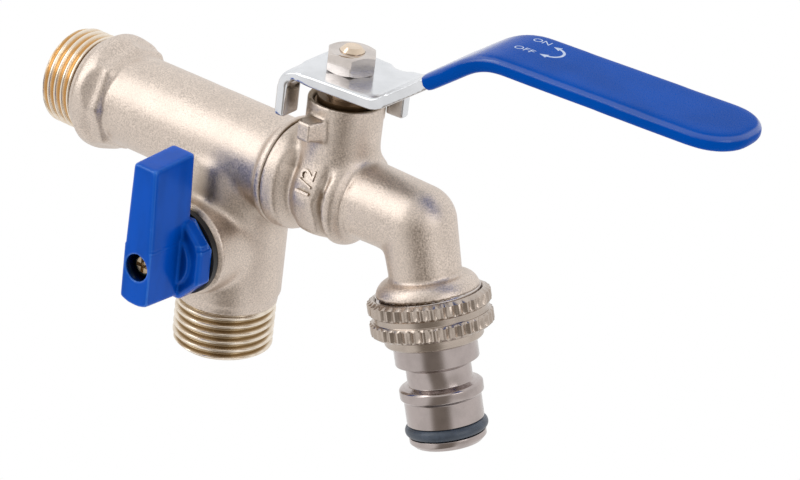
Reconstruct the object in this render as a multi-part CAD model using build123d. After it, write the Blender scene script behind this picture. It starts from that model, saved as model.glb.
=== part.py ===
"""Two-way hose tap: a lever ball tap with a knurled hose union, and a side branch with its own small ball valve.

Millimetres. The origin is the centre of the inlet's end face. X runs along the pipe from the inlet to the spout,
Z is up, and the branch handle faces -Y. Both valves are drawn open.
"""
import os
from math import cos, radians, sin, tan

from build123d import *

# Pipe thread of half-inch size, used on the inlet, the branch and the spout: crest diameter.
thread_diameter = 20.955
thread_chamfer = 0.8

# Sides of the forged facets on the collar, the tap's band and the handle's hub.
facet_sides = 8

# Clearances: a turned fit, a loose fit, and the gap left round seals and at stops.
turning_gap = 0.05
loose_gap = 0.15
stop_gap = 0.3

# Tee body along the pipe.
inlet_thread_length = 8.6
collar_diameter = 24.8
collar_ring_length = 4.2
collar_step = 0.6
collar_crown = 2.2
collar_flats = 21.6
collar_facet_length = 2.4
collar_band_length = 1.3
collar_fade_length = 0.9
collar_shave = 0.2
collar_sink = 0.3
pipe_diameter = 19.6
pipe_bore = 12.4
shoulder_diameter = 23.0
shoulder_length = 1.4
shoulder_blend = 1.6
joint_diameter = 15.4
joint_offset = 14.6
nose_wall = 2.0

# Branch of the tee, hanging down from the pipe.
branch_offset = 47.0
branch_diameter = 22.2
branch_top = 2.0
branch_round = 3.2
branch_body_end = 31.0
branch_thread_length = 10.6
branch_cone_length = 2.2
branch_cone_diameter = 21.2
branch_cone_drop = 0.7
branch_bore = 15.2

# Small ball valve in the branch. Depths are measured down from the pipe's axis.
branch_valve_depth = 18.6
branch_ball_diameter = 13.2
branch_ball_bore = 9.0
branch_seat_reach = 6.4
branch_seat_diameter = 14.0
retainer_length = 5.6
retainer_flats = 10.0
boss_diameter = 19.6
boss_reach = 14.8
boss_round = 1.0
branch_stem_diameter = 8.0
branch_stem_flange = 10.0
branch_stem_flange_thickness = 1.2
branch_stem_square = 5.6
branch_stem_square_length = 4.6
branch_tongue_width = 3.0
branch_tongue_depth = 1.8
branch_seal_section = 1.5
branch_seal_spacing = 2.5
dust_washer_diameter = 18.0
dust_washer_thickness = 1.3

# Branch handle. Heights are measured from its own stem's axis.
handle_hub_flats = 17.0
handle_hub_thickness = 3.8
handle_core_diameter = 12.0
handle_front = 29.1
handle_fin_depth = 11.5
handle_fin_top = 21.8
handle_fin_slope = 1.2
handle_fin_width = 5.9
handle_waist_height = 4.4
handle_waist_width = 6.3
handle_block_width = 7.2
handle_block_depth = 8.6
handle_foot_radius = 8.2
handle_edge = 0.6
screw_hole = 5.6
screw_head = 5.0
screw_head_thickness = 1.9
screw_head_sink = 1.9
screw_shank = 2.9
screw_length = 10.0
recess_span = 3.1
recess_width = 0.8

# Tap body along the pipe, measured from the joint with the tee.
rear_ring_diameter = 23.0
rear_ring_length = 4.6
rear_ring_edge = 0.3
rear_ring_slope = 1.4
waist_diameter = 19.8
waist_length = 2.4
band_flats = 19.7
band_length = 6.0
band_edge = 0.9
band_sink = 0.4
groove_diameter = 17.6
groove_length = 1.8
ridge_diameter = 20.2
ridge_length = 2.2
ridge_draft = 0.5
spout_root_diameter = 16.0
root_fade_length = 1.6

# Main ball valve.
stem_offset = 10.4
ball_diameter = 14.0
ball_bore = 9.4
ball_gap = 0.4
seat_reach = 6.6
seat_diameter = 14.6
seat_thickness = 3.0

# Tower, gland and stem.
tower_diameter = 15.3
tower_height = 19.6
tower_mouth = 14.2
tower_mouth_depth = 0.9
tower_skirt_foot = 3.0
tower_skirt_diameter = 20.0
tower_skirt_top = 11.6
stem_diameter = 8.0
stem_flange_diameter = 9.6
stem_flange_thickness = 1.4
tongue_width = 3.2
tongue_depth = 2.0
thrust_washer_thickness = 0.8
ledge_thickness = 2.2
packing_diameter = 12.6
packing_height = 3.0
gland_step = 1.0
gland_head_diameter = 11.6
gland_head_height = 0.4
stem_thread_diameter = 5.0
stem_flats = 4.0
stem_tip_height = 30.4
stem_tip_round = 0.8

# Stop lugs on the tower: a narrow one in front and a wide one behind, which the lever's tabs meet.
lug_height = 3.2
lug_centre_height = 15.0
front_lug_width = 3.6
front_lug_reach = 11.2
front_lug_offset = -1.2
rear_lug_reach = 9.6
lug_edge = 0.7

# Lever: a bent strip with two tabs, dipped in a sleeve. Its own X runs from the stem along the grip.
lever_turn = 5.0
strip_thickness = 2.4
strip_width = 19.4
strip_top = 25.6
strip_back = 8.8
strip_near_corner = 2.0
strip_far_corner = 6.0
ramp_start = 12.0
ramp_angle = 36.5
ramp_bend = 5.0
grip_bend = 14.0
grip_rise = 15.9
grip_pitch = -1.0
grip_width = 18.0
grip_end = 86.0
grip_end_width = 18.8
grip_corner = 8.0
tab_inner = 8.2
tab_bend = 1.6
tab_width = 4.2
tab_near = 4.0
tab_bottom = 15.1
sleeve_start = 21.3
sleeve_thickness = 0.5
sleeve_round = 1.4
nut_flats = 9.2
nut_height = 3.9
nut_turn = 3.5

# Spout, measured along its axis from the corner where it leaves the pipe's line.
spout_corner = 92.8
spout_raise = 0.6
spout_tilt = 18.6
spout_bend = 8.2
spout_bend_diameter = 14.0
spout_diameter = 15.3
spout_end_diameter = 14.4
spout_bore = 9.4
spout_collar = 13.9
spout_flare = 3.1
spout_thread_length = 4.7

# Hose union: knurled nut, flat washer and quick-fit nipple with its ring, along the same axis.
nut_inset = 0.2
knurl_diameter = 24.5
knurl_depth = 0.55
knurl_teeth = 40
knurl_edge = 0.45
knurl_crest = 0.3
upper_rim = 3.05
rim_groove = 1.4
rim_wall = 0.95
lower_rim = 3.15
nut_mouth_chamfer = 0.3
nut_hub_diameter = 19.8
nut_hub_length = 2.2
nut_hub_round = 0.8
washer_thickness = 1.2
washer_bore = 10.4
nipple_flange_diameter = 20.4
nipple_flange_thickness = 1.4
nipple_collar_diameter = 16.7
nipple_collar_shown = 4.0
nipple_neck_diameter = 13.0
nipple_neck_length = 3.9
nipple_chamfer = 0.9
nipple_edge = 0.4
nipple_catch_diameter = 16.7
nipple_catch_length = 2.1
nipple_barrel_diameter = 15.4
nipple_barrel_length = 4.8
ring_section = 2.4
ring_outer = 16.6
nipple_tip_length = 2.0
nipple_tip_round = 0.9
nipple_bore = 9.4

# Places that follow from the sizes above.
collar_start = inlet_thread_length
joint_x = branch_offset + joint_offset
stem_x = joint_x + stem_offset
branch_end = branch_body_end + branch_cone_length + branch_thread_length
handle_back = boss_reach + dust_washer_thickness + loose_gap
hub_front = handle_back + handle_hub_thickness
fin_back = handle_front - handle_fin_depth
screw_seat = handle_front - screw_head_sink - screw_head_thickness
square_end = handle_back + branch_stem_square_length
stem_flange_top = ball_diameter / 2 + ball_gap + stem_flange_thickness
ledge_bottom = stem_flange_top + thrust_washer_thickness
packing_bottom = ledge_bottom + ledge_thickness
gland_bottom = packing_bottom + packing_height
gland_top = tower_height + gland_head_height
strip_bottom = strip_top - strip_thickness
spout_end = spout_collar + spout_thread_length
nut_top = spout_collar + nut_inset
nipple_top = spout_end + washer_thickness
lip_top = nipple_top + nipple_flange_thickness
knurl_end = nut_top + upper_rim + rim_groove + lower_rim
nut_end = knurl_end + nut_hub_length
collar_end = nut_end + nipple_collar_shown
neck_end = collar_end + nipple_chamfer + nipple_neck_length
catch_end = neck_end + nipple_catch_length
barrel_start = catch_end + (nipple_catch_diameter - nipple_barrel_diameter) / 2
barrel_end = barrel_start + nipple_barrel_length
ring_groove = ring_section + loose_gap
ring_centre = barrel_end + ring_groove / 2
tip_end = barrel_end + ring_groove + nipple_tip_length

# Working planes: the spout's axis points out of the mouth, and the branch valve's Z points at the user.
outlet = Plane(origin=(spout_corner, 0, spout_raise), x_dir=(0, 1, 0),
               z_dir=(sin(radians(spout_tilt)), 0, -cos(radians(spout_tilt))))
branch = Plane(origin=(branch_offset, 0, -branch_valve_depth), x_dir=(1, 0, 0), z_dir=(0, -1, 0))
lever_frame = Location((stem_x, 0, 0), (0, 0, lever_turn))


def turned(points):
    """A turned solid about Z from (radius, height) corners."""
    outline = Polyline(*[(r, 0, z) for r, z in points], close=True)
    return revolve(make_face(outline), Axis.Z)


def turned_outline(edges):
    """A turned solid about Z from edges drawn in XY, where X is the radius and Y the height."""
    return revolve(Plane.XZ * make_face(edges), Axis.Z)


def rod(diameter, start, end):
    """A round bar on Z between two heights."""
    return Pos(0, 0, start) * Cylinder(diameter / 2, end - start, align=(Align.CENTER, Align.CENTER, Align.MIN))


def prism(flats, sides, start, end, turn=0.0):
    """A regular prism on Z, by its width across flats."""
    section = RegularPolygon(flats / 2, sides, major_radius=False, rotation=turn)
    return Pos(0, 0, start) * extrude(section, end - start)


def along_pipe(solid, start=0.0):
    """Lay a solid made on Z along the pipe, with its zero at the given place."""
    return Plane(origin=(start, 0, 0), x_dir=(0, 1, 0), z_dir=(1, 0, 0)) * solid


def ring_seal(section, outer):
    """A round-section ring on Z, centred at its origin."""
    return Torus((outer - section) / 2, section / 2)


def valve_ball(diameter, bore, slot_width, slot_depth):
    """A ball bored along X, with a slot across its top for the stem's tongue."""
    ball = Sphere(diameter / 2) - along_pipe(rod(bore, -diameter, diameter))
    slot = Box(diameter, slot_width + 2 * turning_gap, 2 * slot_depth)
    return ball - Pos(0, 0, diameter / 2) * slot


def seat_ring(ball, bore, diameter, reach):
    """A soft seat on Z, dished to the ball, with its flat back at the given reach."""
    ring = rod(diameter - 2 * turning_gap, reach - seat_thickness, reach)
    return ring - rod(bore, 0, reach) - Sphere(ball / 2 + turning_gap)


def tongue_length(reach):
    """The length of a stem's tongue that stays clear of the seats on both sides."""
    return 2 * (reach - seat_thickness - stop_gap)


def tee_body():
    """Forged tee: inlet thread, faceted collar, pipe, shoulder and nose, with the branch and its boss."""
    r_thread = thread_diameter / 2
    facet_start = collar_start + collar_ring_length
    band_start = facet_start + collar_facet_length
    fade_start = band_start + collar_band_length
    pipe_start = fade_start + collar_fade_length
    nose = joint_x + stem_offset - seat_reach
    half = shoulder_diameter / 2
    spine = turned([
        (0, 0), (r_thread, 0), (r_thread, collar_start),
        (pipe_diameter / 2, collar_start), (pipe_diameter / 2, joint_x - shoulder_length - shoulder_blend),
        (half, joint_x - shoulder_length), (half, joint_x),
        (joint_diameter / 2, joint_x), (joint_diameter / 2, nose), (0, nose),
    ])
    crown = (collar_diameter / 2, collar_start + collar_crown)
    foot = (r_thread + collar_step, collar_start)
    ring = turned_outline(Polyline(crown, (crown[0], facet_start), (0, facet_start), (0, collar_start), foot)
                          + RadiusArc(foot, crown, collar_crown))
    wide = RegularPolygon(collar_diameter / 2 - collar_shave, facet_sides, major_radius=False)
    narrow = RegularPolygon(collar_flats / 2, facet_sides, major_radius=False)
    sunk = RegularPolygon(pipe_diameter / 2 - collar_sink, facet_sides, major_radius=False)
    facets = loft([Pos(0, 0, facet_start) * wide, Pos(0, 0, band_start) * narrow])
    facets &= rod(collar_diameter, facet_start, band_start)
    band = prism(collar_flats, facet_sides, band_start, fade_start)
    fade = loft([Pos(0, 0, fade_start) * narrow, Pos(0, 0, pipe_start) * sunk])
    pipe = along_pipe(spine + ring + facets + band + fade)

    r_branch = branch_diameter / 2
    cone_end = -branch_body_end - branch_cone_length
    drop = turned([
        (0, branch_top), (r_branch - branch_round, branch_top), (r_branch, branch_top - branch_round),
        (r_branch, -branch_body_end), (branch_cone_diameter / 2, -branch_body_end - branch_cone_drop),
        (branch_cone_diameter / 2, cone_end), (r_thread, cone_end), (r_thread, -branch_end + thread_chamfer),
        (r_thread - thread_chamfer, -branch_end), (0, -branch_end),
    ])
    boss = rod(boss_diameter, 0, boss_reach)
    boss = chamfer(boss.edges().sort_by(Axis.Z)[-1], boss_round)
    body = pipe + Pos(branch_offset, 0, 0) * drop + branch * boss

    seat_top = -branch_valve_depth + branch_seat_reach
    retainer_top = -branch_valve_depth - branch_seat_reach
    passage = rod(branch_ball_bore, seat_top, 0)
    chamber = rod(branch_seat_diameter, retainer_top, seat_top)
    mouth = rod(branch_bore, -branch_end, retainer_top)
    body -= Pos(branch_offset, 0, 0) * (passage + chamber + mouth)
    flange_reach = branch_seat_diameter / 2 + branch_stem_flange_thickness + loose_gap
    stem_hole = rod(branch_stem_diameter + 2 * turning_gap, 0, boss_reach)
    stem_hole += rod(branch_stem_flange + 2 * loose_gap, 0, flange_reach)
    body -= branch * stem_hole
    return body - along_pipe(rod(pipe_bore, 0, nose - nose_wall) + rod(ball_bore, nose - nose_wall, nose))


def tap_body():
    """Forged ball housing with its tower and lugs, running into the bent spout with a threaded end."""
    waist = joint_x + rear_ring_length
    band_start = waist + waist_length
    groove = band_start + band_length
    ridge = groove + groove_length
    root = ridge + ridge_length
    bend_start = spout_corner - spout_bend * tan(radians(90 - spout_tilt) / 2)
    band_corner = band_flats / 2 / cos(radians(180 / facet_sides))
    r_ring = rear_ring_diameter / 2
    r_band = band_flats / 2 - band_sink
    housing = turned([
        (0, joint_x), (r_ring - rear_ring_edge, joint_x), (r_ring, joint_x + rear_ring_edge),
        (r_ring - rear_ring_edge, waist - rear_ring_slope), (waist_diameter / 2, waist + waist_length / 2),
        (r_band, band_start), (r_band, groove), (groove_diameter / 2, groove + groove_length / 2),
        (ridge_diameter / 2, ridge), (ridge_diameter / 2 - ridge_draft, root),
        (spout_root_diameter / 2, root + root_fade_length), (0, root + root_fade_length),
    ])
    neck = turned([(0, ridge), (spout_root_diameter / 2, ridge), (spout_diameter / 2, spout_corner),
                   (0, spout_corner)])
    band = prism(band_flats, facet_sides, band_start, groove) & turned([
        (0, band_start), (band_flats / 2, band_start), (band_corner, band_start + band_edge),
        (band_corner, groove - band_edge), (band_flats / 2, groove), (0, groove),
    ])
    body = along_pipe(housing + band) + Pos(0, 0, spout_raise) * along_pipe(neck)

    r_spout = spout_diameter / 2
    corner = Pos(spout_corner, 0, spout_raise)
    turn_plane = Plane(origin=(bend_start, 0, spout_raise), x_dir=(0, 1, 0), z_dir=(1, 0, 0))
    hub = Axis((bend_start, 0, spout_raise - spout_bend), (0, 1, 0))
    elbow = corner * Sphere(r_spout) + revolve(turn_plane * Circle(spout_bend_diameter / 2), hub, 90 - spout_tilt)
    r_thread = thread_diameter / 2
    r_end = spout_end_diameter / 2
    flare_top = (r_end, spout_collar - spout_flare)
    flare_foot = (r_end + spout_flare, spout_collar)
    leg = turned_outline(Polyline(flare_foot, (r_thread, spout_collar), (r_thread, spout_end - thread_chamfer),
                                  (r_thread - thread_chamfer, spout_end), (0, spout_end), (0, 0), (r_spout, 0),
                                  flare_top)
                         + RadiusArc(flare_top, flare_foot, -spout_flare))
    body += elbow + outlet * leg

    r_tower = tower_diameter / 2
    skirt_top = (r_tower, tower_skirt_top)
    skirt_foot = (tower_skirt_diameter / 2, tower_skirt_foot)
    spread = skirt_foot[0] - r_tower
    drop = tower_skirt_top - tower_skirt_foot
    tower = turned_outline(Polyline(skirt_foot, (0, tower_skirt_foot), (0, tower_height), (r_tower, tower_height),
                                    skirt_top)
                           + RadiusArc(skirt_top, skirt_foot, -(spread ** 2 + drop ** 2) / (2 * spread)))
    low = lug_centre_height - lug_height / 2
    front = Pos(front_lug_offset, 0, low) * Box(front_lug_width, front_lug_reach, lug_height,
                                                align=(Align.CENTER, Align.MAX, Align.MIN))
    front = chamfer(front.faces().sort_by(Axis.Y)[0].edges(), lug_edge)
    body += Pos(stem_x, 0, 0) * (tower + front + Pos(0, 0, low) * stop_lug())

    seat_end = stem_x + seat_reach
    chamber = rod(seat_diameter, joint_x, seat_end)
    chamber += rod(joint_diameter + 2 * turning_gap, joint_x, stem_x - seat_reach)
    body -= along_pipe(chamber)
    body -= Pos(0, 0, spout_raise) * along_pipe(rod(spout_bore, seat_end, spout_corner))
    body -= corner * Sphere(spout_bore / 2) + outlet * rod(spout_bore, 0, spout_end)
    stem_way = rod(stem_flange_diameter + 2 * loose_gap, 0, ledge_bottom)
    stem_way += rod(stem_diameter + 2 * turning_gap, 0, tower_height)
    stem_way += rod(packing_diameter, packing_bottom, tower_height)
    stem_way += turned([(0, tower_height - tower_mouth_depth), (packing_diameter / 2, tower_height - tower_mouth_depth),
                        (tower_mouth / 2, tower_height), (0, tower_height)])
    return body - Pos(stem_x, 0, 0) * stem_way


def stop_lug():
    """The wide lug behind the tower: one tab meets its side when open, the other tab when closed."""
    reach = tab_near - stop_gap
    block = Box(2 * reach, rear_lug_reach, lug_height, align=(Align.CENTER, Align.MIN, Align.MIN))
    open_side = Box(tower_diameter, 2 * rear_lug_reach, lug_height, align=(Align.MAX, Align.CENTER, Align.MIN))
    return block & Rot(0, 0, lever_turn) * Pos(reach, 0, 0) * open_side


def main_ball():
    ball = valve_ball(ball_diameter, ball_bore, tongue_width, tongue_depth)
    return lever_frame * ball


def main_stem():
    """Stem with its tongue in the ball, anti-blow-out flange, plain shank, flats for the lever and threaded end."""
    tongue_bottom = ball_diameter / 2 - tongue_depth + turning_gap
    tongue = Box(tongue_length(seat_reach), tongue_width, ball_diameter / 2 + ball_gap - tongue_bottom,
                 align=(Align.CENTER, Align.CENTER, Align.MIN))
    flange = rod(stem_flange_diameter, ball_diameter / 2 + ball_gap, stem_flange_top)
    shank = rod(stem_diameter, stem_flange_top, strip_bottom)
    end = rod(stem_thread_diameter, strip_bottom, stem_tip_height)
    end = chamfer(end.edges().sort_by(Axis.Z)[-1], stem_tip_round)
    flats = Box(2 * stem_thread_diameter, stem_flats, strip_thickness, align=(Align.CENTER, Align.CENTER, Align.MIN))
    neck = Pos(0, 0, strip_bottom) * flats & end
    tip = end & rod(2 * stem_thread_diameter, strip_top, stem_tip_height)
    return lever_frame * (Pos(0, 0, tongue_bottom) * tongue + flange + shank + neck + tip)


def lever_path():
    """The strip's middle line in its own XZ plane, from the plate up the ramp to the grip's end."""
    z = strip_top - strip_thickness / 2
    run = grip_rise / tan(radians(ramp_angle))
    top = (ramp_start + run, 0, z + grip_rise)
    beyond = grip_end + sleeve_thickness
    rise = (beyond - ramp_start - run) * tan(radians(grip_pitch))
    corners = [(-strip_back, 0, z), (ramp_start, 0, z), top, (beyond, 0, z + grip_rise + rise)]
    return FilletPolyline(*corners, radius=[ramp_bend, grip_bend])


def strip(thickness):
    """A wide flat bar along the lever's path, to be cut to its outline."""
    path = lever_path()
    section = Plane(origin=path @ 0, x_dir=(0, 1, 0), z_dir=path % 0) * Rectangle(2 * strip_width, thickness)
    return sweep(section, path)


def lever_plan(margin):
    """The lever's outline from above, grown by a margin, as a tall block."""
    half = strip_width / 2 + margin
    grip = grip_width / 2 + margin
    tip = grip_end_width / 2 + margin
    back = -strip_back - margin
    grip_start = ramp_start + grip_rise / tan(radians(ramp_angle))
    end = grip_end + margin
    step = tab_bend - tab_inner
    outline = make_face(Polyline((back, -tab_near), (step, -tab_near), (step, -half), (ramp_start, -half),
                                 (grip_start, -grip), (end, -tip), (end, tip), (grip_start, grip),
                                 (ramp_start, half), (back, half), close=True))
    outline = fillet(outline.vertices().sort_by(Axis.X)[-2:], grip_corner + margin)
    outline = fillet(outline.vertices().sort_by_distance((back, half))[0], strip_far_corner)
    outline = fillet(outline.vertices().sort_by_distance((step, -half))[0], strip_near_corner)
    return extrude(outline, 2 * stem_tip_height)


def tab():
    """The stop tab at the back, bent down from the strip with a round bend."""
    r_out = tab_bend + strip_thickness
    x_bend = tab_bend - tab_inner
    z_bend = strip_bottom - tab_bend
    inner = x_bend - tab_bend
    outer = x_bend - r_out
    outline = make_face(Line((x_bend, strip_bottom), (x_bend, strip_top))
                        + RadiusArc((x_bend, strip_top), (outer, z_bend), -r_out)
                        + Polyline((outer, z_bend), (outer, tab_bottom), (inner, tab_bottom), (inner, z_bend))
                        + RadiusArc((inner, z_bend), (x_bend, strip_bottom), tab_bend))
    side = Plane(origin=(0, -tab_near, 0), x_dir=(1, 0, 0), z_dir=(0, -1, 0)) * outline
    return extrude(side, tab_width)


def lever_blank():
    """The bent strip with its two stop tabs, before the hole: the tabs mirror each other across a diagonal."""
    across = Plane(origin=(0, 0, 0), z_dir=(1, 1, 0))
    notch = Pos(tab_bend - tab_inner, -tab_near, strip_bottom)
    notch *= Box(strip_width, tab_width, strip_thickness, align=(Align.MAX, Align.MAX, Align.MIN))
    body = (strip(strip_thickness) & lever_plan(0)) - mirror(notch, across)
    return body + tab() + mirror(tab(), across)


def lever():
    """Steel lever, with a flatted hole for the stem."""
    hole = rod(stem_thread_diameter + 2 * turning_gap, strip_bottom, strip_top)
    hole &= Pos(0, 0, strip_bottom) * Box(2 * stem_thread_diameter, stem_flats + 2 * turning_gap, strip_thickness,
                                          align=(Align.CENTER, Align.CENTER, Align.MIN))
    return lever_frame * (lever_blank() - hole)


def lever_sleeve():
    """Soft dipped sleeve round the ramp and the grip, with round edges."""
    outer = strip(strip_thickness + 2 * sleeve_thickness) & lever_plan(sleeve_thickness)
    climb = (sleeve_start - ramp_start) * tan(radians(ramp_angle))
    start = Plane(origin=(sleeve_start, 0, strip_top + climb), x_dir=(0, 1, 0),
                  z_dir=(cos(radians(ramp_angle)), 0, sin(radians(ramp_angle))))
    outer = split(outer, start, keep=Keep.TOP)
    long_edges = [edge for edge in outer.edges() if not start.contains(edge.center())]
    outer = fillet(long_edges, sleeve_round)
    inner = strip(strip_thickness) & lever_plan(0)
    return lever_frame * (outer - inner)


def hex_nut(flats, height, bore):
    """A hexagon nut on Z with both rims chamfered."""
    corner = flats / 3 ** 0.5
    rim = (corner - flats / 2) / 3 ** 0.5
    envelope = turned([(0, 0), (flats / 2, 0), (corner, rim), (corner, height - rim), (flats / 2, height),
                       (0, height)])
    return (prism(flats, 6, 0, height) & envelope) - rod(bore, 0, height)


def lever_nut():
    nut = hex_nut(nut_flats, nut_height, stem_thread_diameter + 2 * turning_gap)
    return lever_frame * Pos(0, 0, strip_top) * Rot(0, 0, nut_turn) * nut


def rear_seat():
    ring = seat_ring(ball_diameter, ball_bore, seat_diameter, seat_reach)
    return along_pipe(mirror(ring, Plane.XY), stem_x)


def front_seat():
    return along_pipe(seat_ring(ball_diameter, ball_bore, seat_diameter, seat_reach), stem_x)


def collar_ring(outer, inner, start, end):
    """A plain flat ring on Z."""
    return rod(outer, start, end) - rod(inner, start, end)


def thrust_washer():
    ring = collar_ring(stem_flange_diameter, stem_diameter + 2 * turning_gap, stem_flange_top, ledge_bottom)
    return Pos(stem_x, 0, 0) * ring


def stem_packing():
    ring = collar_ring(packing_diameter - 2 * turning_gap, stem_diameter + 2 * turning_gap,
                       packing_bottom, gland_bottom)
    return Pos(stem_x, 0, 0) * ring


def gland_nut():
    """Screwed gland that holds the packing down, with a plain head above the tower's mouth."""
    thread_top = tower_height - gland_step
    body = rod(packing_diameter - 2 * turning_gap, gland_bottom, thread_top)
    body += rod(gland_head_diameter, thread_top, gland_top)
    return Pos(stem_x, 0, 0) * (body - rod(stem_diameter + 2 * turning_gap, gland_bottom, gland_top))


def knurl(start, end):
    """A bar with straight knurling, from its teeth's outline."""
    pitch = 360 / knurl_teeth
    top = knurl_diameter / 2
    points = []
    for tooth in range(knurl_teeth):
        for turn, radius in ((-knurl_crest / 2, top), (knurl_crest / 2, top), (0.5, top - knurl_depth)):
            angle = radians((tooth + turn) * pitch)
            points.append((radius * cos(angle), radius * sin(angle)))
    return Pos(0, 0, start) * extrude(make_face(Polyline(*points, close=True)), end - start)


def union_nut():
    """Hand-tightened union nut: two knurled rims with a groove between them, and a smooth hub with a lip."""
    r_rim = knurl_diameter / 2
    r_groove = thread_diameter / 2 + turning_gap + rim_wall
    r_hub = nut_hub_diameter / 2
    groove_start = nut_top + upper_rim
    groove_end = groove_start + rim_groove
    envelope = turned([
        (0, nut_top), (r_rim - knurl_edge, nut_top), (r_rim, nut_top + knurl_edge),
        (r_rim, groove_start - knurl_edge), (r_rim - knurl_edge, groove_start), (r_groove, groove_start),
        (r_groove, groove_end), (r_rim - knurl_edge, groove_end), (r_rim, groove_end + knurl_edge),
        (r_rim, knurl_end - knurl_edge), (r_rim - 2 * knurl_edge, knurl_end), (0, knurl_end),
    ])
    hub = turned([(0, knurl_end), (r_hub, knurl_end), (r_hub, nut_end - nut_hub_round),
                  (r_hub - nut_hub_round, nut_end), (0, nut_end)])
    mouth = thread_diameter / 2 + turning_gap
    hollow = turned([(0, nut_top), (mouth + nut_mouth_chamfer, nut_top), (mouth, nut_top + nut_mouth_chamfer),
                     (mouth, lip_top), (nipple_collar_diameter / 2 + loose_gap, lip_top),
                     (nipple_collar_diameter / 2 + loose_gap, nut_end), (0, nut_end)])
    return outlet * ((knurl(nut_top, knurl_end) & envelope) + hub - hollow)


def union_washer():
    ring = collar_ring(nipple_flange_diameter, washer_bore, spout_end + turning_gap, nipple_top)
    return outlet * ring


def hose_nipple():
    """Turned quick-fit nipple: a flange held by the nut, collar, neck, catch, barrel and ring groove."""
    r_collar = nipple_collar_diameter / 2
    r_neck = nipple_neck_diameter / 2
    r_catch = nipple_catch_diameter / 2
    r_barrel = nipple_barrel_diameter / 2
    r_groove = ring_outer / 2 - ring_section - turning_gap
    r_flange = nipple_flange_diameter / 2
    profile = [
        (nipple_bore / 2, nipple_top), (r_flange, nipple_top), (r_flange, lip_top - turning_gap),
        (r_collar, lip_top - turning_gap), (r_collar, collar_end), (r_neck, collar_end + nipple_chamfer),
        (r_neck, neck_end - nipple_edge), (r_catch - nipple_edge, neck_end), (r_catch, neck_end + nipple_edge),
        (r_catch, catch_end),
        (r_barrel, barrel_start), (r_barrel, barrel_end), (r_groove, barrel_end),
        (r_groove, barrel_end + ring_groove), (r_barrel, barrel_end + ring_groove),
        (r_barrel, tip_end - nipple_tip_round), (r_barrel - nipple_tip_round, tip_end), (nipple_bore / 2, tip_end),
    ]
    return outlet * turned(profile)


def nipple_ring():
    return outlet * Pos(0, 0, ring_centre) * ring_seal(ring_section, ring_outer)


def branch_ball():
    """Its bore runs along the branch, and its slot faces the stem."""
    ball = valve_ball(branch_ball_diameter, branch_ball_bore, branch_tongue_width, branch_tongue_depth)
    return branch * Rot(0, 0, 90) * ball


def branch_upper_seat():
    ring = seat_ring(branch_ball_diameter, branch_ball_bore, branch_seat_diameter, branch_seat_reach)
    return Pos(branch_offset, 0, -branch_valve_depth) * ring


def branch_lower_seat():
    ring = seat_ring(branch_ball_diameter, branch_ball_bore, branch_seat_diameter, branch_seat_reach)
    return Pos(branch_offset, 0, -branch_valve_depth) * mirror(ring, Plane.XY)


def branch_retainer():
    """Screwed ring that holds the lower seat, with a hexagon hole for its key."""
    top = -branch_valve_depth - branch_seat_reach
    ring = rod(branch_bore - 2 * turning_gap, top - retainer_length, top)
    return Pos(branch_offset, 0, 0) * (ring - prism(retainer_flats, 6, top - retainer_length, top))


def branch_seal_places():
    """Depths of the two ring grooves on the branch stem, spread evenly along the boss."""
    middle = (branch_seat_diameter / 2 + branch_stem_flange_thickness + boss_reach) / 2
    return [middle - branch_seal_spacing / 2, middle + branch_seal_spacing / 2]


def branch_stem():
    """Stem with its tongue in the ball, a flange inside the boss, two ring grooves and a square for the handle."""
    tongue_end = branch_ball_diameter / 2 - branch_tongue_depth + turning_gap
    flange_start = branch_seat_diameter / 2
    flange_end = flange_start + branch_stem_flange_thickness
    tongue = Pos(0, 0, tongue_end) * Box(branch_tongue_width, tongue_length(branch_seat_reach),
                                         flange_start - tongue_end, align=(Align.CENTER, Align.CENTER, Align.MIN))
    shank = rod(branch_stem_flange, flange_start, flange_end)
    shank += rod(branch_stem_diameter, flange_end, handle_back)
    shank += prism(branch_stem_square, 4, handle_back, square_end, 45)
    groove = branch_seal_section + loose_gap
    floor = branch_stem_diameter - 2 * branch_seal_section
    for place in branch_seal_places():
        shank -= collar_ring(branch_stem_flange, floor, place - groove / 2, place + groove / 2)
    return branch * (tongue + shank - rod(screw_shank + 2 * turning_gap, screw_seat - screw_length, square_end))


def branch_seal(number):
    """A ring seal in one of the stem's grooves."""
    return branch * Pos(0, 0, branch_seal_places()[number]) * ring_seal(branch_seal_section, branch_stem_diameter)


def dust_washer():
    ring = collar_ring(dust_washer_diameter, branch_stem_diameter + 2 * loose_gap,
                       boss_reach, boss_reach + dust_washer_thickness)
    return branch * ring


def handle_fin():
    """The upright blade, a little taller at its back, narrow at the top."""
    def outline(top):
        waist = handle_waist_width / 2
        tip = handle_fin_width / 2
        return make_face(Polyline((-waist, 0), (waist, 0), (waist, handle_waist_height), (tip, top), (-tip, top),
                                  (-waist, handle_waist_height), close=True))
    blade = loft([Pos(0, 0, fin_back) * outline(handle_fin_top + handle_fin_slope),
                  Pos(0, 0, handle_front) * outline(handle_fin_top)])
    edges = blade.edges().filter_by(lambda edge: edge.center().Y > handle_edge)
    return fillet(edges, handle_edge)


def handle_block():
    """The wider foot round the screw, with a rounded bottom."""
    half = handle_block_width / 2
    drop = (handle_foot_radius ** 2 - half ** 2) ** 0.5
    foot = make_face(Polyline((-half, -drop), (-half, handle_waist_height), (half, handle_waist_height), (half, -drop))
                     + RadiusArc((half, -drop), (-half, -drop), handle_foot_radius))
    start = handle_front - handle_block_depth
    block = Pos(0, 0, start) * extrude(foot, handle_block_depth)
    return fillet(block.edges().filter_by(Axis.Z), handle_edge)


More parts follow.
